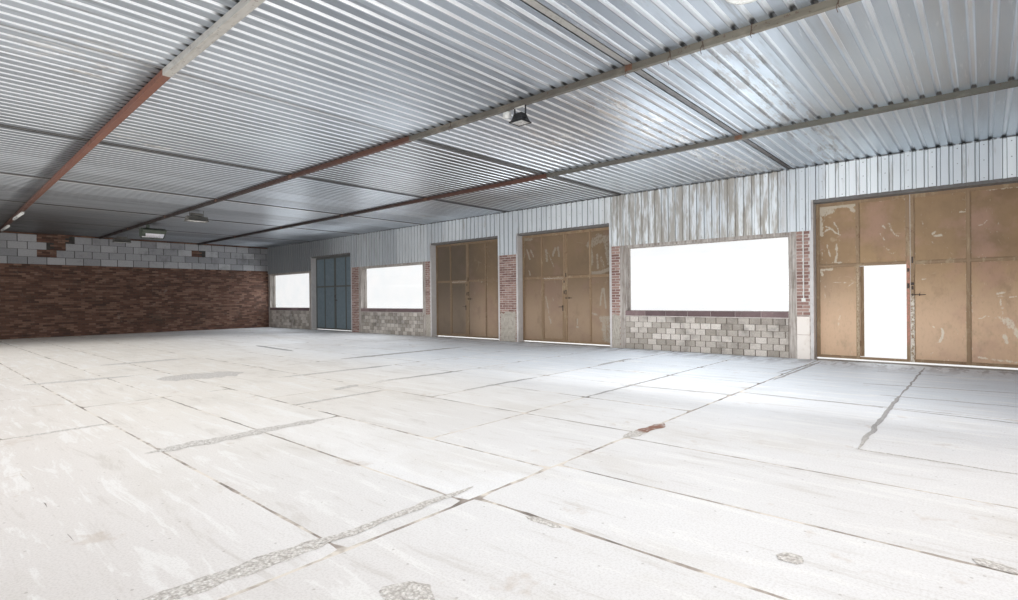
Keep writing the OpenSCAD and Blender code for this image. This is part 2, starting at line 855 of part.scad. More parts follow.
module gate_1_wicket() {
    color("peru")
        placed_wicket(1, wicket_open);
}

module gate_2_left_leaf() {
    color("peru")
        in_gate(2, -1)
            leaf(false);
}

module gate_2_right_leaf() {
    color("peru")
        in_gate(2, 1)
            leaf(true);
}

module gate_2_wicket() {
    color("peru")
        placed_wicket(2, 0);
}

module gate_3_left_leaf() {
    color("peru")
        in_gate(3, -1)
            leaf(false);
}

module gate_3_right_leaf() {
    color("peru")
        in_gate(3, 1)
            leaf(true);
}

module gate_3_wicket() {
    color("peru")
        placed_wicket(3, 0);
}

module gate_4_left_leaf() {
    color("darkslategray")
        in_gate(4, -1)
            leaf(false);
}

module gate_4_right_leaf() {
    color("darkslategray")
        in_gate(4, 1)
            leaf(false);
}

// Where a lamp hangs under a ceiling beam
module under_beam(from_right, beam) {
    x = x_right - from_right;
    translate([x, beam_y(beam, x), beam_low(x)])
        children();
}

// Hood with its top at the origin. Its open side looks down to the left
module hood() {
    rotate([90, 0, 0])
        linear_extrude(height = hood_w)
            polygon([[0, 0], [-hood_d / 2, -hood_h / 4], [hood_d / 3, -hood_h], [hood_d / 2, -hood_h / 2],
                [hood_d / 3, -hood_h / 8]]);
}

// A floodlight and a hooded lamp, both under the middle ceiling beam
module floodlights() {
    color("black") {
        under_beam(flood_from, 1) {
            block([-bracket_w / 2, -bracket_w / 2, -bracket_h], [bracket_w / 2, bracket_w / 2, 0]);
            block([-flood_w / 2, -flood_d / 2, -bracket_h - flood_h],
                [flood_w / 2, flood_d / 2, -bracket_h]);
        }
        under_beam(hood_from, 1) {
            block([-bracket_w / 2, -bracket_w / 2, -hood_drop - hood_h / 3],
                [bracket_w / 2, bracket_w / 2, 0]);
            translate([0, hood_w / 2 - hood_shift, -hood_drop])
                hood();
        }
    }
}

// Lamp on two rods under the ceiling sheets, wider at its foot
module rod_lamp() {
    rotate([90, 0, 0])
        translate([0, -rod_h, -rod_lamp_w / 2])
            linear_extrude(height = rod_lamp_w)
                polygon([[-rod_lamp_d / 4, 0], [-rod_lamp_d / 2, -rod_lamp_h],
                    [rod_lamp_d / 2, -rod_lamp_h], [rod_lamp_d / 4, 0]]);
    for (y = [-rod_lamp_w / 3, rod_lamp_w / 3])
        block([-rod_w / 2, y - rod_w / 2, -rod_h - rod_w], [rod_w / 2, y + rod_w / 2, 0]);
}

// Lamps under the sheets, and tube fittings under the beam nearest the rear wall
module ceiling_lamps() {
    color("white") {
        for (p = rod_lamp_at)
            translate([x_right - p[0], y_front + p[1], ceiling_z])
                rod_lamp();
        translate([x_right - disc_at[0], y_front + disc_at[1], ceiling_z])
            mirror([0, 0, 1])
                cylinder(r1 = disc_r, r2 = disc_r * 0.8, h = disc_h);
        for (from_right = tube_at)
            under_beam(from_right, 2)
                block([-tube_len / 2, -tube_w / 2, -tube_h], [tube_len / 2, tube_w / 2, 0]);
    }
}

// Two boards with a ledge at the foot of the pier between gate 1 and its window
module pier_casings() {
    x0 = open_x(GATES[0]) + half_outer(GATES[0]);
    x1 = open_x(WINDOWS[0]) - half_outer(WINDOWS[0]);
    color("linen") {
        for (z = [[0, casing_low], [casing_low + casing_joint, casing_h]])
            block([x0 + casing_in, y_front, floor_z + z[0]],
                [x1 - casing_in, y_front + casing_t, floor_z + z[1]]);
        block([x0 + casing_in, y_front, floor_z + casing_h],
            [x1 - casing_in, y_front + 2 * casing_t, floor_z + casing_h + casing_t]);
    }
}

// Conduit down the same pier, with its switch
module switch_conduit() {
    x0 = open_x(GATES[0]) + half_outer(GATES[0]) + conduit_in;
    color("white") {
        translate([x0, y_front + conduit_r, floor_z + switch_z])
            cylinder(r = conduit_r, h = lining_low - switch_z);
        block([x0 - switch_w / 2, y_front, floor_z + switch_z - switch_w],
            [x0 + switch_w / 2, y_front + 2 * conduit_r, floor_z + switch_z]);
    }
}

plinth();
floor_bed();
floor_panels();
brick_piers();
rear_infill();
window_walls();
window_sills();
window_posts();
window_heads();
window_panes();
gate_jambs();
gate_heads();
gate_hinges();
wall_rails();
eaves_beams();
front_lining();
front_cladding();
rear_lining();
rear_cladding();
gable_bricks();
gable_blocks();
gable_heads();
girders();
ceiling_beams();
primed_beams();
ceiling_sheets();
purlins();
front_roof_sheets();
rear_roof_sheets();
ridge_cap();
gate_1_left_leaf();
gate_1_right_leaf();
gate_1_wicket();
gate_2_left_leaf();
gate_2_right_leaf();
gate_2_wicket();
gate_3_left_leaf();
gate_3_right_leaf();
gate_3_wicket();
gate_4_left_leaf();
gate_4_right_leaf();
floodlights();
ceiling_lamps();
pier_casings();
switch_conduit();
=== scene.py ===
# The looks of the factory hall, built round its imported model. Metres, in the model's own frame.
import math
import random
import bpy
from mathutils import Euler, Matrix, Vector, noise


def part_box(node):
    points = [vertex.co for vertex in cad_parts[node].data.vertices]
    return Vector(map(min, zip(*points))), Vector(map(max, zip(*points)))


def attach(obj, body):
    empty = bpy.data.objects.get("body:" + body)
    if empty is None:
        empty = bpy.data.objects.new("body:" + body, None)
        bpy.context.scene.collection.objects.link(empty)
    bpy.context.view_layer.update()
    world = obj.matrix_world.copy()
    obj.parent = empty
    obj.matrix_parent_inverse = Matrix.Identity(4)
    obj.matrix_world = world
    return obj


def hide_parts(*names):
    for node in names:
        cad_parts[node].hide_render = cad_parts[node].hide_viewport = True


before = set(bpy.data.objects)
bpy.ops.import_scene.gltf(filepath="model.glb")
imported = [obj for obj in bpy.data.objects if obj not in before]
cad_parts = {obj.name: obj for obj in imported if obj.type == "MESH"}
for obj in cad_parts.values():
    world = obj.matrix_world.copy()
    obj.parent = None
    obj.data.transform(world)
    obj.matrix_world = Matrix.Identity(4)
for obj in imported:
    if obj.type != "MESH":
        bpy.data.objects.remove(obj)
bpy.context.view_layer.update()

X, Y, Z = Vector((1, 0, 0)), Vector((0, 1, 0)), Vector((0, 0, 1))


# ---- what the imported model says

def solids(node):
    """The boxes of a CAD node's separate solids, as (lowest corner, highest corner), sorted."""
    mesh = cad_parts[node].data
    first, same = {}, []
    for vertex in mesh.vertices:
        key = tuple(round(c, 5) for c in vertex.co)
        same.append(first.setdefault(key, len(same)))
    parent = list(range(len(same)))

    def root(k):
        while parent[k] != k:
            parent[k] = parent[parent[k]]
            k = parent[k]
        return k

    for edge in mesh.edges:
        a, b = (root(same[k]) for k in edge.vertices)
        if a != b:
            parent[b] = a
    groups = {}
    for vertex in mesh.vertices:
        groups.setdefault(root(same[vertex.index]), []).append(vertex.co)
    boxes = [tuple(Vector([pick(p[k] for p in points) for k in range(3)]) for pick in (min, max))
             for points in groups.values()]
    return sorted(boxes, key=lambda box: tuple(box[0]))


BED_LOW, BED_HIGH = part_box("floor_bed")
X_LEFT, X_RIGHT = BED_LOW.x, BED_HIGH.x
Y_FRONT, Y_REAR = BED_LOW.y, BED_HIGH.y
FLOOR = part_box("floor_panels")[1].z
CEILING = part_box("ceiling_sheets")[0].z
GIRDERS = [(low.x + high.x) / 2 for low, high in solids("girders")]
BAY_START, BAY = GIRDERS[0], (GIRDERS[-1] - GIRDERS[0]) / (len(GIRDERS) - 1)
PLINTH_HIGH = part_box("plinth")[1]
OUT_RIGHT, OUT_REAR = PLINTH_HIGH.x, PLINTH_HIGH.y
LINING_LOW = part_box("rear_lining")[0].z


# ---- meshes

class Soup:
    """Vertices, faces and one tint per face, gathered for one piece. rubs holds how worn a point is."""

    def __init__(self):
        self.points, self.faces, self.tints, self.rubs = [], [], [], {}

    def shell(self, points, faces, tint=0.5):
        start = len(self.points)
        self.points.extend(points)
        self.faces.extend(tuple(start + k for k in f) for f in faces)
        self.tints.extend([tint] * len(faces))

    def face(self, points, tint=0.5):
        self.shell(points, [range(len(points))], tint)

    def sleeve(self, rings, tint=0.5, caps=()):
        """Quads between closed rings of points, and a cap on each of the rings that caps names."""
        n = len(rings[0])
        faces = [(r * n + k, r * n + (k + 1) % n, (r + 1) * n + (k + 1) % n, (r + 1) * n + k)
                 for r in range(len(rings) - 1) for k in range(n)]
        for r in caps:
            ring = range(r * n, r * n + n)
            faces.append(ring if r else ring[::-1])
        self.shell([p for ring in rings for p in ring], faces, tint)

    def sheet(self, rows, tint=0.5):
        """Quads between rows of points. tint may be a function of the row and the column."""
        for j in range(len(rows) - 1):
            for i in range(len(rows[0]) - 1):
                self.face([rows[j][i], rows[j][i + 1], rows[j + 1][i + 1], rows[j + 1][i]],
                          tint(j, i) if callable(tint) else tint)

    def block(self, origin, u, v, n, size, chamfer=0.0, tint=0.5, backed=False):
        """A block on a wall: origin is its low corner on the wall, n its way out. The face away
        from the wall has a chamfered edge, and the one on the wall is left out unless backed."""
        w, h, d = size
        c = min(chamfer, w / 3, h / 3, d * 0.9)
        levels = [(0, 0), (0, d - c)] + ([(c, d)] if c > 0 else [])
        rings = [[origin + u * a + v * b + n * out for a, b in
                  ((e, e), (w - e, e), (w - e, h - e), (e, h - e))] for e, out in levels]
        self.sleeve(rings, tint, (len(rings) - 1, 0) if backed else (len(rings) - 1,))

    def box(self, low, high, chamfer=0.0, tint=0.5):
        """A closed box between two corners, its upper face chamfered."""
        low = Vector(low)
        self.block(low, X, Y, Z, Vector(high) - low, chamfer, tint, backed=True)

    def bar(self, x, y, half_x, half_y, low, high, chamfer):
        """A box with its middle at x and y, from low to high."""
        self.box((x - half_x, y - half_y, low), (x + half_x, y + half_y, high), chamfer)

    def border(self, low, u, n, size, width, deep, chamfer, tint=lambda: 0.5):
        """Four strips round a field of the size given, the lying ones first."""
        w, h = size
        for a, b, strip in ((0, 0, (w, width)), (0, h - width, (w, width)),
                            (0, width, (width, h - 2 * width)), (w - width, width, (width, h - 2 * width))):
            self.block(low + u * a + Z * b, u, Z, n, (*strip, deep), chamfer, tint(), True)

    def rim(self, low, high, width, top):
        """Four bars round the foot of a lamp, up to top."""
        for a, b in (((low.x, low.y), (high.x, low.y + width)), ((low.x, high.y - width), (high.x, high.y)),
                     ((low.x, low.y + width), (low.x + width, high.y - width)),
                     ((high.x - width, low.y + width), (high.x, high.y - width))):
            self.box((*a, low.z), (*b, top), 0.003)

    def lathe(self, centre, profile, sides=24, axis=Z):
        """A turned piece: profile holds (radius, height along the axis)."""
        u = (X if abs(axis.x) < 0.9 else Y).cross(axis).normalized()
        centre, v = Vector(centre), axis.cross(u)
        turns = [2 * math.pi * k / sides for k in range(sides)]
        self.sleeve([[centre + axis * height + (u * math.cos(a) + v * math.sin(a)) * radius for a in turns]
                     for radius, height in profile])

    def tube(self, path, radius, sides=8):
        """A round bar or wire along a path."""
        path = [Vector(p) for p in path]
        rings = []
        for k, p in enumerate(path):
            along = (path[min(k + 1, len(path) - 1)] - path[max(k - 1, 0)]).normalized()
            u = along.cross(Z if abs(along.z) < 0.9 else X).normalized()
            v = along.cross(u)
            rings.append([p + (u * math.cos(a) + v * math.sin(a)) * radius
                          for a in (2 * math.pi * s / sides for s in range(sides))])
        self.sleeve(rings, caps=(0, len(rings) - 1))

    def prism(self, outline, y0, y1, shut=True):
        """A shape drawn in x and z, drawn out along y. The side from its last point to its first stays
        open unless it is shut."""
        count = len(outline)
        faces = [(k, (k + 1) % count, count + (k + 1) % count, count + k)
                 for k in range(count if shut else count - 1)]
        faces += [range(count - 1, -1, -1), range(count, 2 * count)]
        self.shell([Vector((x, y, z)) for y in (y0, y1) for x, z in outline], faces)

    def lens(self, a, b, y0, y1, bulge, n=8):
        """A domed glass between two edges a and b, given in x and z, from y0 to y1."""
        across = Vector((b[0] - a[0], 0, b[1] - a[1]))
        out = Vector((across.z, 0, -across.x)).normalized()
        out = -out if out.z > 0 else out
        rows = [[Vector((a[0], y0 + (y1 - y0) * j / n, a[1])) + across * (i / n)
                 + out * bulge * (1 - (2 * i / n - 1) ** 2) * (1 - (2 * j / n - 1) ** 2)
                 for j in range(n + 1)] for i in range(n + 1)]
        if across.cross(Y).dot(out) > 0:
            rows = rows[::-1]
        self.sheet(rows)

    def piece(self, name, look, body="hall", slot=None, smooth=False):
        mesh = bpy.data.meshes.new(name)
        mesh.from_pydata(self.points, [], [tuple(f) for f in self.faces])
        mesh.update()
        mesh.attributes.new("tint", "FLOAT", "FACE").data.foreach_set("value", self.tints)
        if self.rubs:
            rub = mesh.attributes.new("rub", "FLOAT", "POINT")
            rub.data.foreach_set("value", [self.rubs.get(k, 0.0) for k in range(len(self.points))])
        if smooth:
            mesh.shade_smooth()
        mesh.materials.append(look)
        obj = bpy.data.objects.new(name, mesh)
        bpy.context.scene.collection.objects.link(obj)
        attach(obj, body)
        return obj


# ---- materials

def tone(colour):
    """A screen colour of 0 to 255 as the linear colour that a shader takes. A linear one, with its fourth
    number, stays, and so does a value that nodes work out."""
    if not isinstance(colour, tuple) or len(colour) == 4:
        return colour
    shares = [c / 255 for c in colour]
    return (*(c / 12.92 if c <= 0.04045 else ((c + 0.055) / 1.055) ** 2.4 for c in shares), 1.0)


class Value:
    """A number or colour that a material's nodes work out, to be reckoned with."""

    def __init__(self, look, socket):
        self.look, self.socket = look, socket

    def __add__(self, other):
        return self.look.maths("ADD", self, other)

    def __sub__(self, other):
        return self.look.maths("SUBTRACT", self, other)

    def __rsub__(self, other):
        return self.look.maths("SUBTRACT", other, self)

    def __mul__(self, other):
        return self.look.maths("MULTIPLY", self, other)

    def __truediv__(self, other):
        return self.look.maths("DIVIDE", self, other)

    def __abs__(self):
        return self.look.maths("ABSOLUTE", self)

    def most(self, other):
        return self.look.maths("MAXIMUM", self, other)

    def span(self, low, high, out_low=0.0, out_high=1.0):
        """From low to high, eased and clamped, as out_low to out_high."""
        node = self.look.add("ShaderNodeMapRange", interpolation_type="SMOOTHSTEP")
        for socket, v in zip(node.inputs[:5], (self, low, high, out_low, out_high)):
            self.look.link(v, socket)
        return Value(self.look, node.outputs["Result"])


class Look:
    """One procedural material, built from short calls. The patterns of a level surface lie in its
    plane, which renders faster. colour is what the coats so far give."""

    def __init__(self, name, roughness, metallic=0.0, level=False):
        self.dimensions = "2D" if level else "3D"
        self.material = bpy.data.materials.new(name)
        self.material.use_nodes = True
        self.tree = self.material.node_tree
        self.tree.nodes.clear()
        self.shader = self.add("ShaderNodeBsdfPrincipled")
        self.shader.inputs["Roughness"].default_value = roughness
        self.shader.inputs["Metallic"].default_value = metallic
        self.out = self.add("ShaderNodeOutputMaterial")
        self.link(Value(self, self.shader.outputs["BSDF"]), self.out.inputs["Surface"])
        self.place = Value(self, self.add("ShaderNodeTexCoord").outputs["Object"])
        self.colour = None

    def add(self, kind, **settings):
        node = self.tree.nodes.new(kind)
        for key, value in settings.items():
            setattr(node, key, value)
        return node

    def link(self, value, socket):
        if isinstance(value, Value):
            self.tree.links.new(value.socket, socket)
        else:
            socket.default_value = value

    def at(self, scale, shift=(0, 0, 0)):
        node = self.add("ShaderNodeMapping")
        node.inputs["Scale"].default_value = scale
        node.inputs["Location"].default_value = shift
        self.link(self.place, node.inputs["Vector"])
        return Value(self, node.outputs["Vector"])

    def noise(self, scale, detail=4.0, rough=0.55, stretch=(1, 1, 1), shift=(0, 0, 0), warp=0.0):
        node = self.add("ShaderNodeTexNoise", noise_dimensions=self.dimensions)
        self.link(self.at(stretch, shift), node.inputs["Vector"])
        for key, value in zip(("Scale", "Detail", "Roughness", "Distortion"), (scale, detail, rough, warp)):
            node.inputs[key].default_value = value
        return Value(self, node.outputs["Fac"])

    def cells(self, scale):
        node = self.add("ShaderNodeTexVoronoi", feature="F1", voronoi_dimensions=self.dimensions)
        self.link(self.at((1, 1, 1)), node.inputs["Vector"])
        node.inputs["Scale"].default_value = scale
        return Value(self, node.outputs["Distance"])

    def axes(self, names="XYZ"):
        node = self.add("ShaderNodeSeparateXYZ")
        self.link(self.place, node.inputs["Vector"])
        return [Value(self, node.outputs[name]) for name in names]

    def tint(self, name="tint"):
        return Value(self, self.add("ShaderNodeAttribute", attribute_name=name).outputs["Fac"])

    def ramp(self, value, *stops):
        node = self.add("ShaderNodeValToRGB")
        elements = node.color_ramp.elements
        while len(elements) < len(stops):
            elements.new(0.5)
        for element, (position, colour) in zip(elements, stops):
            element.position = position
            element.color = tone(colour)
        self.link(value, node.inputs["Fac"])
        return Value(self, node.outputs["Color"])

    def mix(self, share, a, b):
        node = self.add("ShaderNodeMix", data_type="RGBA", blend_type="MIX")
        for k, value in ((0, share), (6, tone(a)), (7, tone(b))):
            self.link(value, node.inputs[k])
        return Value(self, node.outputs[2])

    def coat(self, share, colour):
        self.colour = self.mix(share, self.colour, colour)

    def maths(self, operation, a, b=0.0):
        node = self.add("ShaderNodeMath", operation=operation)
        self.link(a, node.inputs[0])
        self.link(b, node.inputs[1])
        return Value(self, node.outputs["Value"])

    def bump(self, height, distance, strength=1.0):
        node = self.add("ShaderNodeBump")
        node.inputs["Strength"].default_value = strength
        node.inputs["Distance"].default_value = distance
        self.link(height, node.inputs["Height"])
        self.link(Value(self, node.outputs["Normal"]), self.shader.inputs["Normal"])

    def done(self, roughness=None):
        self.link(self.colour, self.shader.inputs["Base Color"])
        if roughness is not None:
            self.link(roughness, self.shader.inputs["Roughness"])
        return self.material


SHEET_WIDTH = 0.94
RIB, RIB_FOOT, RIB_DEPTH = 0.188, 0.074, 0.035
RUBBLE = (-11.22, 0.62)
# the ceiling's marks: middles of the peeling and of the damp sheet in x, and the beam by the rear wall,
# beside which a shadow is painted, as its y at x and how much that falls with each metre further on
PEELING_X, DAMP_X = -9.72, -11.55
REAR_BEAM_X, REAR_BEAM_Y, REAR_BEAM_FALL = -6.37, 3.72, 0.0253


def concrete_floor():
    """Worn precast panels: warm to the left, bluish by the front wall as painted daylight, with drawn-out
    smudges.
    """
    look = Look("slab_concrete", 0.7, level=True)
    x, y = look.axes("XY")
    cloud = look.noise(0.9, 4, 0.62, (0.55, 1, 1))
    drawn = look.noise(3.2, 4, 0.78, (0.22, 1.6, 1), warp=0.3)
    look.colour = look.ramp(look.tint(), (0.0, (227, 226, 227)), (0.5, (237, 237, 239)),
                            (1.0, (244, 245, 248)))
    look.coat(y.span(-3.5, 1.5) * x.span(-12.0, -5.0, 0.15, 0.8), (232, 224, 213))
    look.coat(y.span(3.4, 5.6, 0, 0.7), (217, 210, 205))
    look.coat(cloud.span(0.5, 0.72, 0, 0.40), (212, 206, 198))
    # painted light: bluish daylight on the floor in front of the windows
    look.coat(y.span(0.5, -4.0) * x.span(3.0, -4.0) * 0.7, (218, 227, 237))
    look.coat(drawn.span(0.56, 0.72, 0, 0.26), (176, 166, 154))
    look.coat(drawn.span(0.46, 0.36, 0, 0.45), (246, 245, 243))
    look.coat(look.noise(1.5, 4, 0.75, shift=(8, 3, 0)).span(0.64, 0.76, 0, 0.34), (186, 166, 146))
    look.coat(look.cells(2.6).span(0.014, 0.026, 0.40, 0), (128, 118, 108))
    look.coat(look.noise(70, 3, 0.7).span(0.4, 0.72, 0, 0.22), (160, 152, 144))
    look.coat(y.span(-5.6, -7.2, 0, 0.55) * look.noise(2.2, 3, 0.7, (1.6, 0.4, 1)).span(0.47, 0.6),
              (132, 126, 130))
    look.bump(look.noise(9, 2, 0.7, (0.4, 1.4, 1)), 0.004, 0.35)
    return look.done(cloud.span(0.3, 0.8, 0.55, 0.85))


def gravel():
    """Broken, pale joint filling with small stones: dark by the front wall, brick red where it is one
    broken corner's rubble."""
    look = Look("joint_gravel", 0.95, level=True)
    x, y = look.axes("XY")
    stones = look.cells(48)
    look.colour = look.ramp(look.noise(30, 3, 0.75), (0.32, (184, 178, 172)), (0.5, (218, 213, 208)),
                            (0.68, (240, 237, 233)))
    look.coat(stones.span(0.3, 0.62, 0, 0.42), (150, 142, 135))
    look.coat(y.span(0.5, -1.0, 0, 0.6), (138, 138, 142))
    dx, dy = x - RUBBLE[0], y - RUBBLE[1]
    look.coat((dx * dx + dy * dy).span(0.12, 0.06) * look.noise(9, 3, 0.7).span(0.4, 0.5, 0.3, 0.95),
              (140, 98, 80))
    look.bump(stones, 0.008)
    return look.done()


def joint_dirt():
    """Mortar and dust in the joints: pale brown, in places as pale as the slabs, dark by the front wall."""
    look = Look("joint_dirt", 0.95, level=True)
    y, = look.axes("Y")
    look.colour = look.ramp(look.noise(1.6, 4, 0.75), (0.36, (128, 119, 112)), (0.48, (176, 165, 156)),
                            (0.58, (226, 218, 208)))
    look.coat(y.span(-1.0, -3.0, 0, 0.8) * look.noise(2.4, 4, 0.7, shift=(4, 0, 0)).span(0.42, 0.55),
              (112, 108, 108))
    look.bump(look.noise(90, 1), 0.004, 0.8)
    return look.done()


def brickwork(name, dark, middle, pale, bloom, soot):
    """Fired or cast units with a tint of their own, a grain, soot and pale bloom."""
    look = Look(name, 0.9)
    look.colour = look.ramp(look.tint(), (0.0, dark), (0.5, middle), (1.0, pale))
    look.coat(look.noise(4.5, 4, 0.7, warp=0.6).span(0.58, 0.74, 0, bloom), (196, 188, 178))
    look.coat(look.noise(1.7, 4, 0.6, shift=(3, 7, 1)).span(0.5, 0.75, 0, soot), (58, 52, 48))
    look.coat(look.noise(45, 3, 0.7).span(0.35, 0.75, 0.25, 0), (70, 62, 56))
    look.bump(look.noise(45, 1), 0.003, 0.6)
    return look.done()


def mortar(name, dark, pale):
    """Mortar or concrete of two tones, with a grain."""
    look = Look(name, 0.95)
    look.colour = look.ramp(look.noise(6, 3, 0.7), (0.3, dark), (0.7, pale))
    look.bump(look.noise(70, 1), 0.003, 0.7)
    return look.done()


def zinc(name, pale, dark, dirt, dirt_share, metallic, groove=None, groove_shade=(84, 84, 86), level=False):
    """Galvanised sheet, with its streaks. Its ribs stand, or lie along y where it is level. groove holds
    the places in y between which the edges of its grooves are darkened with painted shade, with some dirt."""
    look = Look(name, 0.45, metallic)
    x, y = look.axes("XY")
    across = (3.4, 0.25, 1) if level else (3.4, 1, 0.35)
    own = look.add("ShaderNodeTexWhiteNoise", noise_dimensions="1D")
    look.link(look.maths("FLOOR", x / SHEET_WIDTH), own.inputs["W"])
    look.colour = look.ramp(Value(look, own.outputs["Value"]) * 0.5 + look.noise(0.5, 2, 0.6) * 0.5,
                            (0.3, dark), (0.65, pale))
    streak = look.noise(1.8, 4, 0.72, across)
    look.coat(streak.span(0.55, 0.7, 0, dirt_share), dirt)
    look.coat(look.noise(6, 2, 0.8, across, (2, 5, 3)).span(0.62, 0.72, 0, 0.4), (246, 246, 246))
    if groove:
        face, deep = groove[0], groove[1] - groove[0]
        # painted shade, with some dirt, on the edges of the grooves
        look.coat(y.span(face, face + deep * 0.25) * y.span(face + deep, face + deep * 0.65) * 0.95, groove_shade)
    return look, streak


def zinc_sheet(*settings):
    """A material of plain zinc."""
    look, streak = zinc(*settings)
    return look.done(streak.span(0.3, 0.8, 0.34, 0.62))


def lining_zinc():
    """The front wall's lining: dirty over the big window, with drips, with painted shade towards the far end
    and a painted shadow under the ceiling.
    """
    # the last colour is the painted shade, with some dirt, on the edges of the grooves
    look, streak = zinc("lining_zinc", (244, 249, 252), (218, 224, 229), (164, 154, 144), 0.5, 0.25,
                        (Y_FRONT + 0.0345, Y_FRONT + 0.017), (60, 60, 62))
    x, z = look.axes("XZ")
    where = x.span(-10.6, -10.3) * x.span(-5.6, -6.2)
    dirt = look.noise(2.2, 4, 0.78, (2.6, 1, 0.28), (4, 0, 1))
    drip = look.noise(5, 4, 0.75, (3, 1, 0.10), (9, 0, 3))
    look.coat(where * dirt.span(0.38, 0.58, 0, 0.92), (171, 165, 156))
    look.coat(where * drip.span(0.62, 0.7, 0, 0.6), (122, 112, 104))
    look.coat(where * drip.span(0.36, 0.28, 0, 0.6), (236, 234, 230))
    # painted shade: the lining darkens towards the far end, where less light reaches
    look.coat(x.span(-3.0, 7.0, 0, 0.55), (146, 150, 154))
    look.coat(x.span(7.0, 10.0, 0, 0.75), (110, 113, 115))
    # painted shadow along the top, in the gap under the ceiling
    top = look.noise(14, 1, 0.6, (1, 1, 0.3)).span(0.4, 0.5, 0.3, 0.9)
    look.coat(z.span(CEILING - 0.035, CEILING - 0.012) * top, (50, 48, 46))
    return look.done(streak.span(0.3, 0.8, 0.34, 0.62))


def ceiling_zinc():
    """The ceiling: lilac grey pans with painted light by the front windows, painted highlights on the groove
    sides and some sheet ends, and painted shade over the beams, beside one beam, along the girders and at the
    far end."""
    look, streak = zinc("ceiling_zinc", (186, 194, 203), (150, 157, 166), (126, 124, 122), 0.5, 0.7,
                        level=True)
    x, y, z = look.axes()
    inside = z.span(CEILING + 0.003, CEILING + 0.009)
    look.coat(x.span(-6.45, -6.3) * x.span(-1.9, -2.3) * y.span(1.2, -0.5, 0, 0.8), (96, 93, 92))
    # painted light: the pans by the front windows are paler and bluish
    near = x.span(-9.5, -12.5) * y.span(1.0, -1.5)
    look.coat(near * 0.7, (196, 210, 220))
    # painted highlight: the groove sides are near white, less so by the front windows
    look.coat(inside * (0.96 - near * 0.62), (248, 252, 255))
    # peeling zinc and rust: in patches, and along the ribs of one sheet over the big window
    strip = abs(x - PEELING_X).span(0.42, 0.2) * y.span(0.4, -0.6)
    where = look.noise(0.3, 1, 0.5, shift=(5, 1, 0)).span(0.6, 0.7, 0, 0.7).most(strip)
    peel = look.noise(3.2, 4, 0.78, (2.4, 0.4, 1), (11, 4, 0))
    rust = look.noise(4.5, 4, 0.8, (2, 0.3, 1), (1, 9, 0))
    look.coat(where * peel.span(0.54, 0.6, 0, 0.8), (232, 230, 226))
    look.coat(where * rust.span(0.55, 0.64, 0, 0.6), (132, 118, 104))
    # damp stains along the ribs beside the first girder
    look.coat(abs(x - DAMP_X).span(0.5, 0.2) * y.span(0.3, -0.6) * peel.span(0.46, 0.6, 0, 0.55),
              (136, 126, 116))
    # painted highlights and painted shadows on the sheet ends along the girders, and a painted shadow beside
    # the beam by the rear wall
    along = (look.maths("FRACT", (x - BAY_START) / BAY + 0.5) - 0.5) * BAY
    far = x.span(-9.0, -8.5) * x.span(-4.6, -4.0, 0.2, 1).most(y.span(0.3, 0.1))
    ends = abs(along - 0.02).span(0.09, 0.07) * far
    # painted highlight on a sheet end in each further bay
    look.coat(abs(along - 0.16).span(0.09, 0.07) * x.span(-2.5, 2.0) * 0.8, (244, 244, 246))
    # painted shadow along the beam's side towards the rear wall
    beside = y - (REAR_BEAM_Y - (x - REAR_BEAM_X) * REAR_BEAM_FALL)
    look.coat(beside.span(0.52, 0.18) * beside.span(0.05, 0.10) * x.span(-6.6, -6.3, 0, 0.6), (52, 50, 50))
    # painted shade: the far end is darker, most towards the rear wall
    look.coat(x.span(-1.5, 11.5, 0, 0.92) * y.span(-4.5, 3.0, 0.35, 1.0), (64, 62, 61))
    # painted shadow on the sheet ends along the girders
    look.coat(ends * 0.92, (40, 38, 35))
    # painted shade in the grooves right over the near ceiling beams
    for low, high in solids("ceiling_beams"):
        look.coat(abs(y - (low.y + high.y) / 2).span(0.15, 0.05, 0, 0.9) * inside, (38, 40, 38))
    look.link(0.7 - ends * 0.7, look.shader.inputs["Metallic"])
    return look.done(streak.span(0.3, 0.8, 0.28, 0.46))


def steel(name, main, worn, rust, worn_share, rust_share, metallic=0.0, rough=0.6):
    """Painted steel with worn edges and rust."""
    look = Look(name, rough, metallic)
    spots = look.noise(11, 3, 0.8)
    look.colour = look.mix(look.noise(2.4, 4, 0.7, warp=0.5).span(0.5, 0.68, 0, worn_share), main, worn)
    look.coat(spots.span(0.58, 0.68, 0, rust_share), rust)
    look.bump(spots, 0.001, 0.5)
    return look.done(spots.span(0.4, 0.7, rough - 0.1, rough + 0.2))


def strokes(look, scale, shift, where_scale, level, width):
    """Thin curved marks: short stretches of the level lines of a smooth noise."""
    line = abs(look.noise(scale, 1, 0.4, shift=shift) - 0.5).span(0, width, 1, 0)
    return line * look.noise(where_scale, 3, 0.6, shift=shift).span(level, level + 0.04)


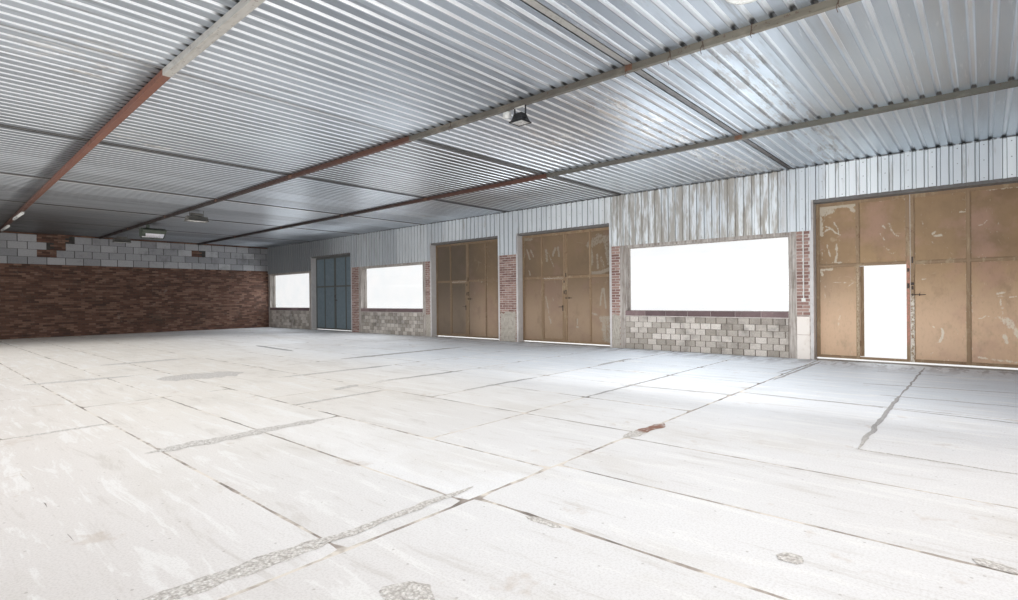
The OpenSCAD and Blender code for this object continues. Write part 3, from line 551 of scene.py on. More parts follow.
def gate_board():
    """Brown board of the gates: clouded, wiped in arcs, whitish where its points are marked as rubbed, paler
    towards its foot, partly as painted light from the floor, and darker with painted shade at the further
    gates.
    """
    look = Look("gate_board", 0.6)
    x, z = look.axes("XZ")
    broad = look.noise(0.7, 4, 0.55)
    low = z.span(2.5, 0.9, 0, 0.85)
    look.colour = look.ramp(broad, (0.35, (134, 107, 76)), (0.5, (156, 127, 94)), (0.65, (172, 142, 106)))
    # paler towards the foot: partly painted light from the floor
    look.coat(low, (226, 193, 162))
    look.coat(look.noise(1.1, 4, 0.6, shift=(7, 2, 5)).span(0.48, 0.66, 0, 0.5), (184, 144, 128))
    look.coat(look.noise(2.2, 4, 0.65, (1, 1, 0.6), (3, 3, 3)).span(0.52, 0.72, 0, 0.35), (122, 98, 74))
    wide = strokes(look, 1.7, (1, 0, 8), 2.6, 0.60, 0.016)
    close = strokes(look, 2.6, (6, 0, 2), 3.4, 0.62, 0.02)
    look.coat(wide.most(close) * 0.35, (206, 186, 156))
    ragged = look.noise(8, 3, 0.7, shift=(5, 5, 5)) * 1.5 + look.noise(38, 3, 0.75, (1, 1, 0.5)) * 1.9
    # the rubs too are paler towards the foot, partly as painted light from the floor
    look.coat((look.tint("rub") + (ragged - 1.7)).span(0.36, 0.74, 0, 0.82),
              look.mix(low, (204, 194, 176), (238, 228, 210)))
    # painted shade: the boards of the further gates are darker, as less light reaches them
    look.coat(x.span(-6.8, -6.2, 0, 0.58), (98, 84, 68))
    look.coat(x.span(-1.0, 0.5, 0, 0.63), (70, 65, 58))
    look.coat(look.noise(28, 3, 0.7, (1, 1, 0.4)).span(0.5, 0.8, 0, 0.25), (128, 102, 80))
    look.bump(look.noise(4, 1), 0.004, 0.3)
    return look.done(broad.span(0.3, 0.7, 0.45, 0.65))


def gate_frame(name, main, pale, streaks=()):
    """The steel of a gate leaf in the boards' colour, rubbed paler on its edges. streaks holds stiles
    that are paler up to a height: (x, half width, lowest, highest, colour, share)."""
    look = Look(name, 0.6)
    x, z = look.axes("XZ")
    wear = look.noise(4.5, 4, 0.8, (1, 1, 0.35), warp=0.8)
    specks = look.noise(34, 3, 0.8, (1, 1, 0.6))
    look.colour = look.mix(wear.span(0.50, 0.66, 0, 0.55), main, pale)
    for middle, half, low, high, colour, share in streaks:
        tall = z.span(low - 0.1, low + 0.1) * z.span(high + 0.15, high - 0.15)
        look.coat(abs(x - middle).span(half, half * 0.8) * tall * specks.span(0.36, 0.58, 0, share), colour)
    look.coat(look.noise(9, 3, 0.75, shift=(4, 0, 2)).span(0.60, 0.70, 0, 0.5), (112, 76, 56))
    # painted shade: the frames of the further gates are darker, as less light reaches them
    look.coat(x.span(-6.0, 1.0, 0, 0.5), (96, 82, 66))
    look.bump(wear, 0.0015, 0.5)
    return look.done(wear.span(0.3, 0.7, 0.45, 0.75))


def old_post():
    """The grey posts and heads round the windows, streaked along their height."""
    look = Look("post_steel", 0.8)
    streak = look.noise(9, 3, 0.75, (2.2, 2.2, 0.16), warp=0.4)
    look.colour = look.ramp(streak, (0.34, (140, 130, 122)), (0.5, (176, 168, 161)),
                            (0.66, (202, 196, 190)))
    look.coat(look.noise(3, 4, 0.7, shift=(4, 2, 7)).span(0.55, 0.7, 0, 0.5), (132, 120, 112))
    look.bump(streak, 0.002, 0.5)
    return look.done()


def clear_glass():
    """Window glass that lets the day through: a thin gloss, stronger when it is seen from the side."""
    look = Look("window_glass", 0.03)
    clear, gloss, facing, blend = (look.add("ShaderNode" + kind) for kind in
                                   ("BsdfTransparent", "BsdfGlossy", "LayerWeight", "MixShader"))
    look.link(look.ramp(look.noise(1.5, 1, 0.6), (0.3, (0.975, 0.985, 0.99, 1)), (0.8, (1, 1, 1, 1))),
              clear.inputs["Color"])
    gloss.inputs["Roughness"].default_value = 0.05
    share = look.maths("POWER", Value(look, facing.outputs["Facing"]), 5) * 0.9 + 0.04
    look.link(share, blend.inputs["Fac"])
    for k, shader in ((1, clear), (2, gloss)):
        look.link(Value(look, shader.outputs["BSDF"]), blend.inputs[k])
    look.link(Value(look, blend.outputs["Shader"]), look.out.inputs["Surface"])
    look.tree.nodes.remove(look.shader)
    return look.material


def beige_steel():
    """The near ceiling beams: pale by the rear wall, grey-brown in the middle, dark by the front one."""
    look = Look("beige_steel", 0.6)
    x, y = look.axes("XY")
    dirt = look.noise(4, 4, 0.8, (0.3, 1, 1), warp=0.5)
    spots = look.noise(16, 3, 0.8)
    look.colour = look.mix(y.span(-2.4, -1.4), (89, 88, 81), (128, 123, 111))
    look.coat(x.span(-12.4, -9.8, 0, 0.75) * y.span(2.4, 1.4), (92, 88, 82))
    look.coat(y.span(1.4, 2.4), (184, 181, 175))
    look.coat(dirt.span(0.48, 0.64, 0, 0.5), look.mix(0.45, look.colour, (70, 60, 52)))
    look.coat(look.noise(3, 4, 0.7, (0.5, 1, 1), (9, 0, 3)).span(0.52, 0.66, 0, 0.4),
              look.mix(0.5, look.colour, (190, 180, 165)))
    look.coat(spots.span(0.6, 0.68, 0, 0.6), (88, 60, 44))
    look.bump(spots, 0.001, 0.5)
    return look.done(dirt.span(0.3, 0.7, 0.5, 0.75))


def primed_steel():
    """The far ceiling beams: red primer, darker with painted shade away from the rear wall and further along
    the hall.
    """
    look = Look("primer_steel", 0.6)
    x, y = look.axes("XY")
    cloud = look.noise(2.4, 4, 0.7, warp=0.5)
    look.colour = look.mix(cloud.span(0.5, 0.68, 0, 0.4), (122, 78, 62), (144, 102, 80))
    look.coat(look.noise(11, 3, 0.8).span(0.58, 0.68, 0, 0.45), (76, 52, 44))
    # painted shade on the beams away from the rear wall, deeper further along
    look.coat(y.span(2.4, 1.4) * x.span(-7.0, 3.0, 0.45, 0.94), (38, 31, 29))
    # painted shade further along the hall
    look.coat(x.span(-1.0, 10.0, 0, 0.7), (44, 34, 31))
    look.bump(cloud, 0.001, 0.5)
    return look.done(cloud.span(0.3, 0.7, 0.5, 0.75))


def girder_steel():
    """Grey girders: pale by the rear wall, darker towards the front one, with patches of dirt."""
    look = Look("girder_steel", 0.55)
    y, = look.axes("Y")
    spots = look.noise(13, 3, 0.8, (1, 0.4, 1))
    look.colour = look.mix(y.span(2.0, -1.6), (168, 166, 162), (110, 109, 110))
    look.coat(y.span(-3.6, -6.6), (62, 58, 56))
    look.coat(look.noise(3.4, 4, 0.75, warp=0.5).span(0.5, 0.66, 0, 0.5),
              look.mix(0.5, look.colour, (60, 50, 44)))
    look.coat(spots.span(0.58, 0.68, 0, 0.5), (96, 74, 60))
    look.bump(spots, 0.001, 0.5)
    return look.done(spots.span(0.4, 0.7, 0.5, 0.75))


FLOOR_LOOK, GRAVEL, DIRT, GLASS = concrete_floor(), gravel(), joint_dirt(), clear_glass()
RED_BRICK = brickwork("red_brick", (144, 108, 100), (166, 131, 121), (192, 161, 150), 0.5, 0.2)
DARK_BRICK = brickwork("dark_brick", (84, 58, 48), (112, 78, 64), (146, 112, 94), 0.2, 0.5)
PALE_BLOCK = brickwork("pale_block", (154, 155, 158), (176, 176, 179), (197, 197, 199), 0.2, 0.35)
ROUGH_BLOCK = brickwork("rough_block", (172, 164, 154), (202, 194, 185), (230, 223, 215), 0.5, 0.5)
SILL = brickwork("sill_course", (104, 86, 88), (126, 106, 108), (152, 130, 130), 0.3, 0.3)
RENDER = brickwork("pier_render", (172, 164, 154), (196, 189, 178), (214, 209, 200), 0.4, 0.25)
WARM_MORTAR = mortar("warm_mortar", (178, 170, 164), (224, 218, 213))
DARK_MORTAR = mortar("dark_mortar", (74, 66, 60), (128, 118, 108))
SOOT_MORTAR = mortar("soot_mortar", (66, 58, 52), (104, 94, 86))
GREY_MORTAR = mortar("grey_mortar", (52, 50, 48), (86, 82, 78))
PLINTH_LOOK = mortar("plinth_concrete", (140, 136, 130), (180, 176, 170))
CEILING_LOOK, LINING = ceiling_zinc(), lining_zinc()
# the rear lining's groove edges get the default painted shade, with some dirt
REAR_LINING = zinc_sheet("rear_lining_zinc", (240, 245, 250), (214, 220, 226), (172, 160, 148), 0.45, 0.25,
                         (Y_REAR - 0.0345, Y_REAR - 0.020))
CLADDING = zinc_sheet("cladding_zinc", (204, 210, 216), (186, 192, 198), (140, 130, 120), 0.45, 0.3)
ROOFING = zinc_sheet("roofing_zinc", (197, 201, 206), (179, 183, 188), (128, 112, 100), 0.45, 0.3,
                     None, None, True)
RAIL_STEEL = steel("rail_steel", (112, 110, 108), (150, 146, 142), (102, 76, 60), 0.4, 0.4)
JAMB_STEEL = steel("jamb_steel", (208, 205, 204), (228, 226, 225), (140, 124, 114), 0.5, 0.25)
POST_STEEL, GIRDER_STEEL = old_post(), girder_steel()
BEIGE_STEEL, PRIMER_STEEL = beige_steel(), primed_steel()
FRAME_BROWN = gate_frame("gate_frame_brown", (152, 126, 98), (188, 170, 142), (
    (-12.770, 0.034, 0.2, 1.55, (236, 230, 218), 0.9),
    (-12.701, 0.034, 0.6, 2.3, (206, 140, 126), 0.8),
    (-13.702, 0.030, 0.3, 1.95, (232, 220, 186), 0.75),
    (-11.835, 0.030, 0.3, 2.2, (222, 206, 180), 0.5)))
FRAME_GREY = gate_frame("gate_frame_grey", (99, 113, 118), (128, 139, 144))
BEAD = gate_frame("gate_bead", (158, 132, 102), (206, 190, 162))
BOARD = gate_board()
BOARD_GREY = steel("gate_board_grey", (118, 133, 141), (136, 150, 158), (80, 78, 76), 0.4, 0.2)
IRON = steel("lock_iron", (74, 62, 56), (120, 106, 96), (108, 66, 46), 0.4, 0.5, 0.2, 0.55)
RUST_WIRE = steel("rust_wire", (84, 56, 40), (120, 88, 66), (60, 40, 32), 0.4, 0.5)
RUST_PLATE = steel("rust_plate", (112, 80, 62), (142, 112, 90), (74, 52, 42), 0.4, 0.5)
PAINTED = steel("painted_board", (240, 233, 226), (226, 216, 206), (190, 172, 156), 0.4, 0.25)
BLACK = steel("lamp_black", (36, 36, 38), (70, 70, 72), (60, 50, 44), 0.4, 0.2, 0.2, 0.45)
HOOD_GREEN = steel("lamp_hood", (84, 92, 82), (120, 126, 116), (74, 62, 52), 0.4, 0.3, 0.1, 0.5)
ENAMEL = steel("white_enamel", (232, 232, 228), (212, 211, 204), (176, 164, 146), 0.3, 0.15, 0, 0.35)
LAMP_BODY = steel("lamp_body", (112, 110, 105), (140, 138, 133), (80, 70, 60), 0.4, 0.3, 0.2, 0.45)
LAMP_GLASS = steel("lamp_glass", (196, 196, 194), (214, 214, 212), (172, 172, 170), 0.4, 0.1, 0.2, 0.2)
REFLECTOR = steel("reflector", (240, 238, 246), (248, 248, 250), (206, 204, 210), 0.4, 0.1, 0.95, 0.12)
SCREW = steel("screw_zinc", (168, 170, 174), (196, 198, 201), (128, 118, 108), 0.4, 0.3, 0.3, 0.5)
BULB = steel("bulb_glass", (238, 238, 234), (246, 246, 244), (214, 210, 200), 0.4, 0.1, 0, 0.2)

# the looks of the source's own nodes, and of every other one RAIL_STEEL
NODE_LOOKS = {
    "plinth": PLINTH_LOOK, "floor_bed": DIRT, "brick_piers": WARM_MORTAR, "rear_infill": GREY_MORTAR,
    "window_walls": DARK_MORTAR, "window_sills": WARM_MORTAR, "window_posts": POST_STEEL,
    "window_heads": POST_STEEL, "window_panes": GLASS, "gate_jambs": JAMB_STEEL,
    "front_lining": LINING, "rear_lining": REAR_LINING, "front_cladding": CLADDING,
    "rear_cladding": CLADDING, "gable_bricks": SOOT_MORTAR, "gable_blocks": GREY_MORTAR,
    "gable_heads": SOOT_MORTAR, "girders": GIRDER_STEEL, "ceiling_beams": BEIGE_STEEL,
    "primed_beams": PRIMER_STEEL, "ceiling_sheets": CEILING_LOOK, "front_roof_sheets": ROOFING,
    "rear_roof_sheets": ROOFING, "ridge_cap": ROOFING, "switch_conduit": ENAMEL, "pier_casings": PAINTED,
}
for node_name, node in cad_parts.items():
    finish = NODE_LOOKS.get(node_name, RAIL_STEEL)
    if node_name.endswith(("_leaf", "_wicket")):
        finish = FRAME_GREY if node_name.startswith("gate_4") else FRAME_BROWN
    node.data.materials.clear()
    node.data.materials.append(finish)


# ---- masonry

# How units are laid: the length and height of one with its joint, the joint beside and under it, how far it
# stands proud, and its chamfer.
PIER_BOND = (0.25, 0.075, 0.015, 0.015, 0.005, 0.003)
WINDOW_BOND = (0.2605, 0.1475, 0.018, 0.006, 0.009, 0.005)
INFILL_BOND = (0.595, 0.3, 0.012, 0.012, 0.006, 0.005)
GABLE_BOND = (0.25, 0.075, 0.011, 0.011, 0.006, 0.0)
PATCH_BOND = (0.25, 0.075, 0.011, 0.011, 0.005, 0.0)
COURSE_BOND = (0.25, 0.06, 0.009, 0.009, 0.006, 0.0)
BLOCK_BOND = (0.6, 0.3, 0.024, 0.011, 0.009, 0.005)
SLACK, LENGTH_SLACK, LEAST = 0.0015, 0.002, 0.18


def courses(soup, draw, face, height, bond, leave=None):
    """Lays a face of bricks or blocks in half bond. leave(a, b) says whether the one centred a along and b
    up the face is left out, and so is one shorter than the least share of a whole one."""
    origin, u, n, width = face
    unit, tall, joint, bed, proud, chamfer = bond
    rows = max(1, round(height / tall))
    pitch = height / rows
    for row in range(rows):
        cut = -unit * (0.5 if row % 2 else 0.0)
        while cut < width:
            a, b = max(cut, 0.0), min(cut + unit, width)
            cut += unit
            if b - a < LEAST * unit or (leave and leave((a + b) / 2, (row + 0.5) * pitch)):
                continue
            out = proud + draw.uniform(-SLACK, SLACK)
            w = b - a - joint + draw.uniform(-LENGTH_SLACK, LENGTH_SLACK)
            h = pitch - bed + draw.uniform(-SLACK, SLACK)
            low = origin + u * (a + joint / 2) + Z * (row * pitch + bed / 2)
            soup.block(low, u, Z, n, (w, h, out), chamfer, draw.random())


def faces_of(low, high, side_x=False):
    """The two faces of a wall box across y, or across x: (origin, direction along, way out, width)."""
    if side_x:
        return [(Vector((low.x, high.y, low.z)), -Y, -X, high.y - low.y),
                (Vector((high.x, low.y, low.z)), Y, X, high.y - low.y)]
    return [(low.copy(), X, -Y, high.x - low.x), (Vector((high.x, high.y, low.z)), -X, Y, high.x - low.x)]


def wall(soup, draw, node, bond, side_x=False, top=None):
    """Lays both long faces of a node's boxes, up to top."""
    for low, high in solids(node):
        for face in faces_of(low, high, side_x):
            courses(soup, draw, face, (top or high.z) - low.z, bond)
    return soup


draw = random.Random(11)
wall(Soup(), draw, "brick_piers", PIER_BOND, top=LINING_LOW).piece("pier_brickwork", RED_BRICK, slot="brick")

# the corner piers' faces in the gables, outside
soup, corner_draw = Soup(), random.Random(21)
for low, high in solids("brick_piers"):
    for face, at_corner in zip(faces_of(low, high, True), (low.x < X_LEFT, high.x > X_RIGHT)):
        if at_corner:
            courses(soup, corner_draw, face, high.z - low.z, PIER_BOND)
soup.piece("corner_brickwork", RED_BRICK, slot="brick")

wall(Soup(), draw, "window_walls", WINDOW_BOND).piece("window_wall_blocks", ROUGH_BLOCK, slot="rough_block")
infill = wall(Soup(), draw, "rear_infill", INFILL_BOND, top=LINING_LOW)
infill.piece("infill_blocks", PALE_BLOCK, slot="block")

# gables: brick below, light blocks above, a thin brick course under the ceiling, brick heads outside.
# Where bricks patch the blocks of the right gable, inside: (from, to) along y and (from, to) in height.
PATCHES = [((1.15, 1.75), (3.78, 4.38)), ((1.45, 2.32), (3.48, 3.78)), ((1.75, 2.32), (4.08, 4.38)),
           ((-3.9, -3.3), (3.78, 4.08))]
ROOF_END = 0.3


def roof_height(y):
    """Top of the gable heads at y."""
    low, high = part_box("gable_heads")
    ends = CEILING + ROOF_END
    return ends + (high.z - ends) * (1 - abs(y) / high.y)


bricks, blocks = wall(Soup(), draw, "gable_bricks", GABLE_BOND, True), Soup()
for low, high in solids("gable_blocks"):
    for face in faces_of(low, high, True):
        origin, u, n, width = face
        inside_right = n == -X and low.x > 0

        def patched(a, b, origin=origin, u=u, inside_right=inside_right):
            y, z = (origin + u * a).y, origin.z + b
            return inside_right and any(y0 <= y <= y1 and z0 <= z <= z1 for (y0, y1), (z0, z1) in PATCHES)

        courses(blocks, draw, face, high.z - low.z, BLOCK_BOND, patched)
        if inside_right:
            courses(bricks, draw, face, high.z - low.z, PATCH_BOND, lambda a, b: not patched(a, b))
for low, high in solids("gable_heads"):
    for face in faces_of(low, high, True):
        origin, u, n, width = face

        def above(a, b, origin=origin, u=u):
            y, z = (origin + u * a).y, origin.z + b
            return z + 0.05 > roof_height(abs(y) + 0.13) or (abs(y) > Y_REAR and z < CEILING)

        if (n == -X) == (low.x < 0):
            courses(bricks, draw, face, high.z - low.z, GABLE_BOND, above)
        else:
            face = (Vector((origin.x, -u.y * Y_REAR, low.z)), u, n, 2 * Y_REAR)
            courses(bricks, draw, face, CEILING - low.z, COURSE_BOND)
bricks.piece("gable_brickwork", DARK_BRICK, slot="brick")
blocks.piece("gable_blockwork", PALE_BLOCK, slot="block")

# sill sections on the sill course, with pale joints between them
SILL_SECTIONS, SILL_JOINT, SILL_PROUD = 7, 0.008, 0.006
soup = Soup()
for low, high in solids("window_sills"):
    step = (high.x - low.x) / SILL_SECTIONS
    for k in range(SILL_SECTIONS):
        a = low.x + k * step + SILL_JOINT / 2
        soup.box((a, low.y - SILL_PROUD, low.z + 0.02),
                 (a + step - SILL_JOINT, high.y + SILL_PROUD, high.z + SILL_PROUD), 0.006, draw.random())
soup.piece("sill_sections", SILL, slot="brick")


# ---- floor slabs, with uneven edges and dirt in the joints

# How the slabs' edges are worn: between marks, at most, and by a chip of which there is a chance. The
# corners are cut by a length along the edge and an inset.
EDGE_STEP, WEAR, CHIP, CHIP_CHANCE, CORNER, EDGE_DROP = 0.11, 0.012, 0.01, 0.05, (0.03, 0.004), 0.006
draw = random.Random(5)
slabs = Soup()
for low, high in solids("floor_panels"):
    top = FLOOR + draw.uniform(-0.0015, 0.0)
    tint = draw.random()
    outline = []
    for x, y, along, length in ((low.x, low.y, X, high.x - low.x), (high.x, low.y, Y, high.y - low.y),
                                (high.x, high.y, -X, high.x - low.x), (low.x, high.y, -Y, high.y - low.y)):
        start, inward = Vector((x, y, 0)), Z.cross(along)
        count = max(4, int(length / EDGE_STEP))
        for k in range(count):
            at = length * k / count
            worn = abs(noise.noise((start + along * at) * 5.0)) * WEAR
            chip = CHIP if draw.random() < CHIP_CHANCE else 0.0
            cut, inset = (0.0, 0.0) if k else CORNER
            outline.append(start + along * (at + cut) + inward * (worn + chip + inset))
    centre = Vector(((low.x + high.x) / 2, (low.y + high.y) / 2, 0))
    inner = [p + (centre - p).normalized() * draw.uniform(0.003, 0.008) for p in outline]
    rings = [[Vector((p.x, p.y, z)) for p in ring]
             for ring, z in ((outline, low.z), (outline, top - EDGE_DROP), (inner, top))]
    slabs.sleeve(rings, tint, (2,))
floor = slabs.piece("floor_slabs", FLOOR_LOOK, slot="concrete")
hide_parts("floor_panels")

# dirt lies a little below the slabs' tops, in a bed of long low ridges
ACROSS, DEEP, SUNK, RIDGE = 150, 70, 0.0028, 0.0010
step_x, step_y = (X_RIGHT - X_LEFT) / ACROSS, (Y_REAR - Y_FRONT) / DEEP
dirt = Soup()
dirt.sheet([[Vector((X_LEFT + i * step_x, Y_FRONT + j * step_y,
                     FLOOR - SUNK + RIDGE * noise.noise(Vector((i * 0.37, j * 0.41, 1.0)))))
             for i in range(ACROSS + 1)] for j in range(DEEP + 1)])
dirt.piece("joint_dirt_bed", DIRT, slot="concrete")

# gravel and mortar smeared over the wide joints: (x, y) from and to, and the width
SMEARS = [
    ((-7.98, 4.52), (-7.95, 2.66), 0.22), ((-1.42, 4.60), (-1.62, 3.02), 0.26),
    ((1.0, 3.0), (1.02, 1.25), 0.30), ((-2.55, 2.9), (-2.85, 1.5), 0.95),
    ((-6.86, 2.55), (-6.8, 1.02), 0.09), ((-11.12, 1.22), (-11.18, 0.42), 0.15),
    ((-11.2, -3.6), (-11.25, -6.9), 0.06), ((-6.2, 1.5), (-6.02, 0.98), 0.18),
    ((-4.12, 1.4), (-4.3, -1.0), 0.15), ((-2.3, -1.0), (-2.4, -4.9), 0.22),
    ((-6.0, 0.6), (-6.15, -1.3), 0.11), ((-9.6, -0.35), (-9.62, -3.4), 0.06),
    ((-7.82, 0.3), (-7.86, -1.5), 0.09), ((-7.8, -3.6), (-7.76, -5.1), 0.09),
    ((-6.22, 5.2), (-6.2, 4.4), 0.10), ((0.6, -1.3), (3.4, -1.5), 0.18),
    ((-10.90, 5.40), (-10.94, 4.30), 0.16), ((-10.96, 4.45), (-10.96, 3.20), 0.08),
    ((-11.86, 4.52), (-11.70, 4.36), 0.26), ((-13.00, 2.90), (-13.13, 2.90), 0.12),
    ((-13.80, 2.28), (-13.99, 2.33), 0.10), ((-11.62, 3.37), (-11.90, 3.35), 0.07),
    ((-12.99, -7.0), (-12.97, -3.2), 0.035), ((-12.96, -3.3), (-12.98, 0.27), 0.055),
    ((-12.95, 0.26), (-14.10, 0.29), 0.022), ((-11.29, -2.12), (-12.90, -2.08), 0.026),
    ((-12.85, -2.06), (-14.30, -1.95), 0.020), ((-12.75, -3.07), (-14.20, -3.12), 0.026),
    ((-12.40, -4.10), (-14.30, -4.38), 0.026), ((-11.00, -4.6), (-11.24, -6.6), 0.05),
    ((-9.45, -1.66), (-11.2, -1.86), 0.02),
]
soup = Soup()
for number, (start, stop, width) in enumerate(SMEARS):
    a, b = Vector((*start, FLOOR + 0.001)), Vector((*stop, FLOOR + 0.001))
    along = b - a
    length = along.length
    along.normalize()
    side = Z.cross(along)
    count = max(6, int(length / 0.05))
    rows = []
    for k in range(count + 1):
        share = k / count
        half = 0.5 * width * min(1.0, 6 * share + 0.15, 6 * (1 - share) + 0.15)
        centre = a + along * (length * share)
        shift = side * (0.02 * noise.noise(centre * 4.0 + Vector((number, 0, 0))))
        left, right = (half * (0.9 + 0.5 * noise.noise(centre * 9.0 + Vector((0, y, 0)))) for y in (0, 5))
        rows.append([centre + shift + side * left, centre + shift + side * left * 0.5 + Z * 0.003,
                     centre + shift - side * right * 0.5 + Z * 0.003, centre + shift - side * right])
    soup.sheet(rows)
soup.piece("floor_gravel", GRAVEL, slot="concrete")

# a joint that is filled flush with pale mortar: x from and to, y, and the steps along it
FLUSH_FROM, FLUSH_TO, FLUSH_Y, FLUSH_STEPS = -14.4, -6.3, 5.32, 81
rows = []
for side, lift in ((-1, 0.0002), (0, 0.0012), (1, 0.0002)):
    xs = [FLUSH_FROM + (FLUSH_TO - FLUSH_FROM) * k / FLUSH_STEPS for k in range(FLUSH_STEPS + 1)]
    half = [0.045 + 0.015 * noise.noise(Vector((x * 6, side, 0))) for x in xs]
    rows.append([Vector((x, FLUSH_Y + side * h, FLOOR + lift)) for x, h in zip(xs, half)])
soup = Soup()
soup.sheet(rows, 0.55)
soup.piece("flush_joint", FLOOR_LOOK, slot="concrete")


# ---- gates: boards, the beads that hold them, locks and handles. Sizes of a leaf, as in the source.

STILE, MULLION, BOTTOM_RAIL, LEAF_T, GAP = 0.060, 0.050, 0.050, 0.060, 0.008
BOARD_IN, BOARD_OUT = 0.038, 0.024
WICKET_STILE, WICKET_GAP, WICKET_SIDE = 0.040, 0.006, 0.918
MID_RAIL = 2.020 + 0.200
JAMBS = solids("gate_jambs")

# Whitish rubs and paint on the room side of the boards of gates 1 and 2, as (width, how strong, path in x
# and z). They are written here with the width in mm, and the path in cm.
MARKS = [(width / 1000, strength, [(x / 100, z / 100) for x, z in zip(path[::2], path[1::2])])
         for width, strength, *path in (
    (75, 1, -1114, 350, -1130, 353, -1152, 355, -1176, 354), (85, 0.9, -1114, 350, -1120, 340, -1134, 346),
    (55, 0.85, -1112, 340, -1115, 310, -1116, 295), (50, 0.9, -1170, 350, -1177, 340),
    (22, 0.85, -1124, 312, -1134, 306, -1143, 296, -1151, 291), (24, 0.8, -1117, 296, -1126, 304, -1136, 305),
    (20, 0.75, -1140, 319, -1147, 305, -1149, 292), (35, 0.75, -1144, 270, -1145, 248, -1142, 233),
    (26, 0.9, -1138, 232, -1153, 231), (22, 0.7, -1126, 271, -1132, 246), (20, 0.6, -1117, 262, -1117, 240),
    (22, 0.8, -1228, 303, -1232, 298), (22, 0.65, -1239, 308, -1242, 295, -1248, 283, -1254, 280),
    (18, 0.6, -1224, 287, -1227, 280, -1231, 274), (20, 0.7, -1230, 261, -1237, 253),
    (20, 0.65, -1236, 248, -1245, 244, -1249, 248), (20, 0.8, -1351, 318, -1361, 318),
    (24, 0.8, -1360, 322, -1362, 313), (26, 0.8, -1309, 280, -1313, 283), (30, 0.85, -1314, 275, -1323, 276),
    (14, 0.6, -1293, 307, -1295, 294), (18, 0.6, -1308, 265, -1311, 260),
    (14, 0.7, -1379, 290, -1384, 291, -1390, 298), (14, 0.5, -1406, 293, -1404, 274),
    (50, 0.8, -1438, 340, -1438, 315), (22, 0.6, -1390, 355, -1436, 355), (13, 0.6, -1138, 188, -1175, 187),
    (14, 0.6, -1163, 177, -1175, 187), (35, 0.8, -1112, 216, -1135, 217), (40, 0.8, -1113, 215, -1117, 205),
    (24, 0.5, -1150, 117, -1146, 93), (16, 0.5, -1122, 180, -1122, 155), (14, 0.8, -1292, 190, -1299, 191),
    (30, 1, -1322.5, 93, -1324, 85, -1323, 76, -1319, 67), (12, 0.7, -1319, 67, -1312, 64),
    (18, 0.8, -1308, 97, -1311, 95), (30, 0.9, -1404, 160, -1412, 162), (24, 0.8, -1406, 156, -1412, 155),
    (20, 0.8, -1408, 150, -1408, 139), (16, 0.8, -1420, 153, -1429, 155),
    (60, 0.72, -1408, 117, -1413, 115, -1420, 109, -1427, 95, -1433, 82), (50, 0.62, -1413, 110, -1420, 98),
    (40, 0.75, -1413, 84, -1416, 70), (22, 0.6, -1410, 136, -1411, 122), (30, 0.7, -1435, 85, -1437, 45),
    (12, 0.8, -1377, 114, -1382, 114, -1387, 119), (8, 0.6, -1387, 119, -1400, 115, -1408, 115),
    (30, 0.62, -1376, 40, -1400, 37, -1430, 34), (75, 0.92, -259, 347, -261, 295),
    (75, 0.8, -266, 350, -295, 350), (42, 0.8, -274, 317, -280, 302, -286, 287),
    (45, 0.8, -282, 248, -286, 235), (45, 0.69, -290, 315, -300, 295), (67.5, 0.69, -351, 311, -355, 277),
    (60, 0.92, -388, 315, -383, 305, -378, 294), (52.5, 0.86, -398, 315, -401, 290),
    (37.5, 0.57, -374, 273, -382, 254), (45, 0.57, -362, 300, -370, 280),
    (180, 0.71, -514, 315, -542, 332, -575, 330), (90, 0.69, -516, 305, -520, 260),
    (105, 0.71, -570, 310, -577, 260), (52.5, 0.75, -538, 285, -540, 247),
    (75, 1, -516, 231, -550, 233, -578, 242), (75, 0.57, -550, 275, -560, 250),
    (30, 0.86, -349, 164, -355, 140, -360, 114), (33, 0.92, -360, 101, -366, 92, -368, 82),
    (30, 0.57, -375, 162, -380, 150), (30, 0.92, -467, 97, -467, 80), (37.5, 0.92, -464, 73, -470, 73),
    (39, 0.92, -555, 185, -550, 162, -548, 139), (39, 0.92, -560, 185, -562, 160, -566, 130),
    (45, 0.69, -515, 115, -536, 110), (112, 0.75, -549, 101, -558, 90, -562, 40),
    (75, 0.8, -550, 102, -578, 102), (90, 0.69, -572, 95, -576, 35),
)]


def marked(p):
    """How rubbed a point of a board is."""
    most = 0.0
    for width, strength, path in MARKS:
        if abs(path[0][0] - p.x) > 0.8:
            continue
        for (xa, za), (xb, zb) in zip(path, path[1:]):
            dx, dz = xb - xa, zb - za
            share = max(0.0, min(1.0, ((p.x - xa) * dx + (p.z - za) * dz) / (dx * dx + dz * dz)))
            away = math.hypot(p.x - xa - dx * share, p.z - za - dz * share)
            most = max(most, strength * min(1.0, 1.5 * (1 - away / (width * 1.1))))
    return most


class Place:
    """Leaf coordinates: x from the hinge edge, y from the outer face towards the room, z up."""

    def __init__(self, gate, side, turn=0.0, axis=(0, 0)):
        left, right = JAMBS[2 * gate - 2][1].x, JAMBS[2 * gate - 1][0].x
        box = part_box(f"gate_{gate}_{'left' if side < 0 else 'right'}_leaf")
        self.side, self.turn, self.axis = side, math.radians(turn), axis
        self.x0 = (right if side > 0 else left) - side * GAP
        self.y0 = JAMBS[0][0].y + 0.010
        self.z0, self.z1 = box[0].z, box[1].z
        self.width = (right - left) / 2 - GAP - 0.004

    def point(self, x, y, z):
        c, s = math.cos(self.turn), math.sin(self.turn)
        dx, dy = x - self.axis[0], y - self.axis[1]
        x, y = self.axis[0] + c * dx + s * dy, self.axis[1] - s * dx + c * dy
        return Vector((self.x0 - self.side * x, self.y0 + y, z))

    def way(self, x, y, z):
        return self.point(x, y, z) - self.point(0, 0, 0)

    def out(self, inner):
        """The way out of the leaf, on the room side or the other."""
        return self.way(0, 1 if inner else -1, 0)


